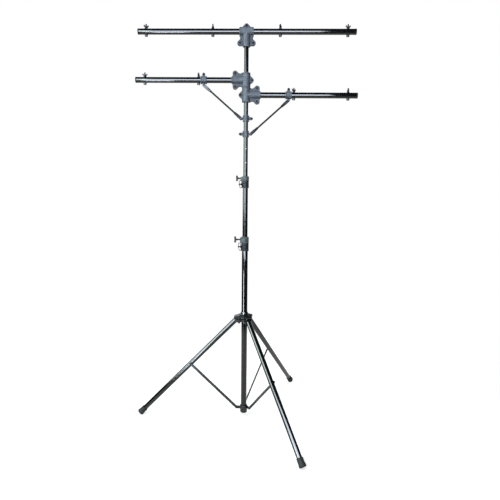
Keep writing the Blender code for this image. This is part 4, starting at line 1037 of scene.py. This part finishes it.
def make_bars():
    """The crossbar and the side bars with their fixture bolts and end caps."""
    cut = CAP_DEPTH + FIT
    bars = {"top": (cut - BAR_ENDS["top"], BAR_ENDS["top"] - cut, TOP_Z),
            "left": (cut - BAR_ENDS["side"], -SIDE_START, SIDE_BARS["left"][1]),
            "right": (SIDE_START, BAR_ENDS["side"] - cut, SIDE_BARS["right"][1])}
    for name, (start, end, z) in bars.items():
        node = name + "_bar"
        piece(node + "_tube", shifted(tube(BAR_R, start, end), move(z=z) @ TO_RIGHT),
              tube_paint(), node)
        bolts = [shifted(bar_bolt_shell(), move(x=x, z=bolt_z))
                 for label, x, bolt_z in bolt_places() if label.startswith(name)]
        piece(node + "_bolts", joined(*bolts), dark_steel(), node)
    cap = turned([(0, CAP_DEPTH), (0.0130, CAP_DEPTH), (0.0162, 0.0052), (0.0165, 0.0032),
                  (0.0165, 0.0), (0.0143, 0.0), (0.0143, -0.014), (0, -0.014)],
                 sizes().sides, 0.0006)
    caps = {"top_bar_cap_left": (-1, "top", TOP_Z), "top_bar_cap_right": (1, "top", TOP_Z)}
    for name, (sign, z) in SIDE_BARS.items():
        caps[name + "_bar_cap"] = (sign, "side", z)
    for node, (sign, bar, z) in caps.items():
        site = move(x=sign * (BAR_ENDS[bar] - CAP_DEPTH), z=z) @ turn("y", sign * math.pi / 2)
        piece(node + "_moulding", shifted(cap, site), moulded_plastic(), node)


def wing_nut_shell():
    """A cast wing nut: a waisted hub and two ears that rise, thicken and round off."""
    bore, ear, wide, high = 0.0043, 0.0042, 0.0150, 0.0180
    hub = turned([(bore, 0.0125), (0.0052, 0.0125), (0.0062, 0.009), (0.0074, 0.003),
                  (0.0079, 0.0), (bore, 0.0)], 40, 0.0008, 5)
    outline = np.array([(0.0050, 0.0112), *arc((wide - ear, high - ear), ear, 120, -30, 16),
                        (0.0076, 0.0030), (0.0050, 0.0024)])
    wing = shifted(slab(outline, -0.0017, 0.0017, 0.0012, (0.0100, 0.0125), 0.0012), TO_FRONT)
    return joined(hub, wing, shifted(wing, turn("z", math.pi)))


def make_wing_nuts():
    """Eight wing nuts, each at its own turn."""
    shell = wing_nut_shell()
    for (name, x, z), angle in zip(bolt_places(), WING_TURNS):
        site = move(x, 0, z + BAR_R + FIT) @ around(angle)
        piece("wings_" + name, shifted(shell, site), dark_steel(), "wing_nut_" + name)


# Arm braces

def fork_shell():
    """A pressed fork: two cheeks joined by a body, and a round socket for the rod along +Z."""
    inside = EAR_HALF + FIT
    outside = inside + FORK_PLATE
    shoulders = [(FORK_HALF, 0.032), (0.006, 0.034), (-0.006, 0.034), (-FORK_HALF, 0.032)]
    cheek = np.concatenate([arc((0, 0), FORK_HALF, 180, 360, 24), shoulders])
    body = slab([(FORK_HALF, 0.024), *shoulders, (-FORK_HALF, 0.024)], 0.0002 - outside,
                outside - 0.0002, 0.0009)
    socket = turned([(0, 0.052), (0.0060, 0.052), (0.0072, 0.0505), (0.0072, 0.038),
                     (0.0078, 0.033), (0, 0.033)], 36, 0.0007)
    return joined(*cheeks(cheek, inside, outside, 0.0007, (0, 0.015)), shifted(body, TO_FRONT),
                  socket)


def fork_bolt_shell():
    """The pivot bolt through a fork."""
    outside = EAR_HALF + FIT + FORK_PLATE
    return joined(*bolt_pair(outside), side_rod(0, 0, -outside, outside))


def make_arm_braces():
    """Two diagonal rods with a fork at each end. The left one's outer fork is light zinc, a painted
    highlight from the upper left; the right one's, the same fork, is dark.
    """
    paint = gloss_paint("arm_paint", 0.34, 1.4, 0.05)
    fork_paint = cast_metal("fork_paint", (0.016, 0.018, 0.023), 0.42)
    # Painted highlight: the left outer fork is light zinc and the right one dark, though both are
    # one fork lit from the upper left
    outer_finish = {"left": plated_steel("bright_zinc", (0.085, 0.10, 0.12), 0.42, 0.05),
                    "right": fork_paint}
    rod_r, rod_start = 0.0050, 0.030
    for name, (sign, z) in SIDE_BARS.items():
        node = "arm_brace_" + name
        outer = np.array([sign * CLAMP_REACH, 0, z - PIVOT_EAR])
        along = np.array([sign * PIVOT_EAR, 0, CLAMP_Z[name]]) - outer
        length = np.linalg.norm(along)
        site = move(*outer) @ turn("y", math.atan2(along[0], along[2]))
        far = site @ move(z=length) @ turn("x", math.pi) @ turn("z", math.pi)
        piece(name + "_rod", shifted(rod(rod_r, rod_start, length - rod_start, 40), site), paint,
              node)
        piece(name + "_fork_outer", shifted(fork_shell(), site), outer_finish[name], node)
        piece(name + "_fork_inner", shifted(fork_shell(), far), fork_paint, node)
        bolts = [shifted(fork_bolt_shell(), place) for place in (site, far)]
        piece(name + "_fork_bolts", joined(*bolts), dark_steel(), node)


# Studio

def soft_lamp(name, place, target, width, height, radiance, colour, reflected):
    """A soft rectangular lamp that faces a point. One kind lights surfaces, the other is the card
    that gloss paint mirrors, so that the light on matte colours stays plain."""
    data = bpy.data.lights.new(name, "AREA")
    data.shape = "RECTANGLE"
    data.size, data.size_y = width, height
    data.energy = radiance * math.pi * width * height
    data.color = colour
    lamp = linked(name, data)
    lamp.visible_camera = False
    lamp.visible_diffuse = not reflected
    lamp.visible_glossy = reflected
    back = np.array(place, float) - np.array(target, float)
    back /= np.linalg.norm(back)
    side = np.cross((0, 0, 1), back)
    side /= np.linalg.norm(side)
    matrix = move(*place)
    matrix[:3, :3] = np.stack([side, np.cross(back, side), back], axis=1)
    lamp.matrix_world = Matrix(matrix.tolist())


def seen_directly(nodes):
    """1 for rays from the camera and for mirrored and refracted ones, otherwise 0; and 1 for rays
    from the camera alone."""
    path = nodes.add("LightPath", {})
    seen = path["Is Camera Ray"]
    for other in ("Is Glossy Ray", "Is Transmission Ray"):
        seen = nodes.add("Math", {0: seen, 1: path[other]}, operation="MAXIMUM")[0]
    return seen, path["Is Camera Ray"]


def make_floor():
    """A pale floor that reads as white and keeps the stand's shadow."""
    half = sizes().floor_size / 2
    corners = np.array([(-half, -half, 0), (half, -half, 0), (half, half, 0), (-half, half, 0)])
    floor = meshed("studio_floor", (corners, np.array([(0, 1, 2, 3)])))
    finish = Finish("studio_floor", colour_of("floor"), 0.9, specular=0.1)
    seen = seen_directly(finish)[0]
    lift = finish.add("Math", {0: seen, 1: FLOOR_LIFT}, operation="MULTIPLY")[0]
    glow = finish.add("Emission", {"Strength": lift})[0]
    nodes = finish.tree.nodes
    lit = finish.add("AddShader", {0: nodes["Principled BSDF"].outputs[0], 1: glow})[0]
    finish.feed(nodes["Material Output"].inputs, {"Surface": lit})
    floor.data.materials.append(finish.material)


def make_world():
    """White for the camera. Mirrored and refracted rays meet the same white backdrop behind the
    stand and the dim room in front of it."""
    world = bpy.data.worlds.new("studio")
    bpy.context.scene.world = world
    nodes = Nodes(world)
    ahead = nodes.coordinate(nodes.add("TexCoord", {})["Generated"], "Y")
    backdrop = nodes.between(ahead, *BACKDROP, interpolation_type="SMOOTHSTEP")
    seen, by_camera = seen_directly(nodes)
    strength = nodes.mix("FLOAT", by_camera, nodes.mix("FLOAT", seen, ROOM_LIGHT, backdrop), 1.0)
    nodes.feed(nodes.tree.nodes["Background"].inputs,
               {"Color": (1, 1, 1, 1), "Strength": strength})


def make_camera():
    """The photograph's viewpoint: eye level 1.39 m, 2.8 m away, looking 7 degrees down."""
    data = bpy.data.cameras.new("camera")
    data.sensor_width, data.lens = SENSOR, LENS
    data.clip_start, data.clip_end = CLIP
    camera = linked("camera", data)
    matrix = (move(*EYE) @ turn("z", HEADING) @ turn("x", math.pi / 2 - TILT)
              @ turn("z", ROLL))
    camera.matrix_world = Matrix(matrix.tolist())
    bpy.context.scene.camera = camera


def make_stage():
    """Floor, lamps, world and camera."""
    make_floor()
    for name, numbers in LAMPS.items():
        soft_lamp(name, *numbers)
    make_world()
    make_camera()
    bpy.context.scene.view_settings.view_transform = "Standard"


# Operators

class STAND_OT_stage(bpy.types.Operator):
    """Makes the floor, lamps, world and camera"""
    bl_idname = "stand.stage"
    bl_label = "Studio"

    def execute(self, context):
        make_stage()
        return {"FINISHED"}


class STAND_OT_mast(bpy.types.Operator):
    """Makes the three mast tubes"""
    bl_idname = "stand.mast"
    bl_label = "Mast Tubes"

    def execute(self, context):
        make_mast()
        return {"FINISHED"}


class STAND_OT_mast_clamps(bpy.types.Operator):
    """Makes both mast clamps"""
    bl_idname = "stand.mast_clamps"
    bl_label = "Mast Clamps"

    def execute(self, context):
        make_mast_clamps()
        return {"FINISHED"}


class STAND_OT_legs(bpy.types.Operator):
    """Makes the legs and their feet"""
    bl_idname = "stand.legs"
    bl_label = "Legs"

    def execute(self, context):
        make_legs()
        return {"FINISHED"}


class STAND_OT_tripod_braces(bpy.types.Operator):
    """Makes the flat braces of the tripod"""
    bl_idname = "stand.tripod_braces"
    bl_label = "Tripod Braces"

    def execute(self, context):
        make_tripod_braces()
        return {"FINISHED"}


class STAND_OT_base_collar(bpy.types.Operator):
    """Makes the cup under the mast"""
    bl_idname = "stand.base_collar"
    bl_label = "Base Collar"

    def execute(self, context):
        make_base_collar()
        return {"FINISHED"}


class STAND_OT_hub(bpy.types.Operator):
    """Makes the sliding hub and its handle"""
    bl_idname = "stand.hub"
    bl_label = "Hub"

    def execute(self, context):
        make_hub()
        return {"FINISHED"}


class STAND_OT_castings(bpy.types.Operator):
    """Makes the T castings"""
    bl_idname = "stand.castings"
    bl_label = "Castings"

    def execute(self, context):
        make_castings()
        return {"FINISHED"}


class STAND_OT_bars(bpy.types.Operator):
    """Makes the bars, fixture bolts and caps"""
    bl_idname = "stand.bars"
    bl_label = "Bars"

    def execute(self, context):
        make_bars()
        return {"FINISHED"}


class STAND_OT_wing_nuts(bpy.types.Operator):
    """Makes the wing nuts"""
    bl_idname = "stand.wing_nuts"
    bl_label = "Wing Nuts"

    def execute(self, context):
        make_wing_nuts()
        return {"FINISHED"}


class STAND_OT_brace_clamps(bpy.types.Operator):
    """Makes the clamps of the arm braces"""
    bl_idname = "stand.brace_clamps"
    bl_label = "Brace Clamps"

    def execute(self, context):
        make_brace_clamps()
        return {"FINISHED"}


class STAND_OT_arm_braces(bpy.types.Operator):
    """Makes the diagonal arm braces"""
    bl_idname = "stand.arm_braces"
    bl_label = "Arm Braces"

    def execute(self, context):
        make_arm_braces()
        return {"FINISHED"}


OPERATORS = (STAND_OT_stage, STAND_OT_mast, STAND_OT_mast_clamps, STAND_OT_legs,
             STAND_OT_tripod_braces, STAND_OT_base_collar, STAND_OT_hub, STAND_OT_castings,
             STAND_OT_bars, STAND_OT_wing_nuts, STAND_OT_brace_clamps, STAND_OT_arm_braces)


class STAND_PT_panel(bpy.types.Panel):
    """Lists the stand's sizes, colours and pieces."""
    bl_label = "Lighting Stand"
    bl_idname = "STAND_PT_panel"
    bl_space_type = "VIEW_3D"
    bl_region_type = "UI"
    bl_category = "Stand"

    def draw(self, context):
        for group in (context.scene.stand_sizes, context.scene.stand_colours):
            column = self.layout.column()
            for name in group.__annotations__:
                column.prop(group, name)
        column = self.layout.column()
        for cls in OPERATORS:
            column.operator(cls.bl_idname)


CLASSES = (StandSizes, StandColours, *OPERATORS, STAND_PT_panel)


def register():
    for cls in CLASSES:
        bpy.utils.register_class(cls)
    bpy.types.Scene.stand_sizes = PointerProperty(type=StandSizes)
    bpy.types.Scene.stand_colours = PointerProperty(type=StandColours)


def unregister():
    del bpy.types.Scene.stand_colours
    del bpy.types.Scene.stand_sizes
    for cls in reversed(CLASSES):
        bpy.utils.unregister_class(cls)


def main():
    """Builds the stand and its studio."""
    register()
    for cls in OPERATORS:
        getattr(bpy.ops.stand, cls.bl_idname.split(".")[1])()


if __name__ == "__main__":
    main()
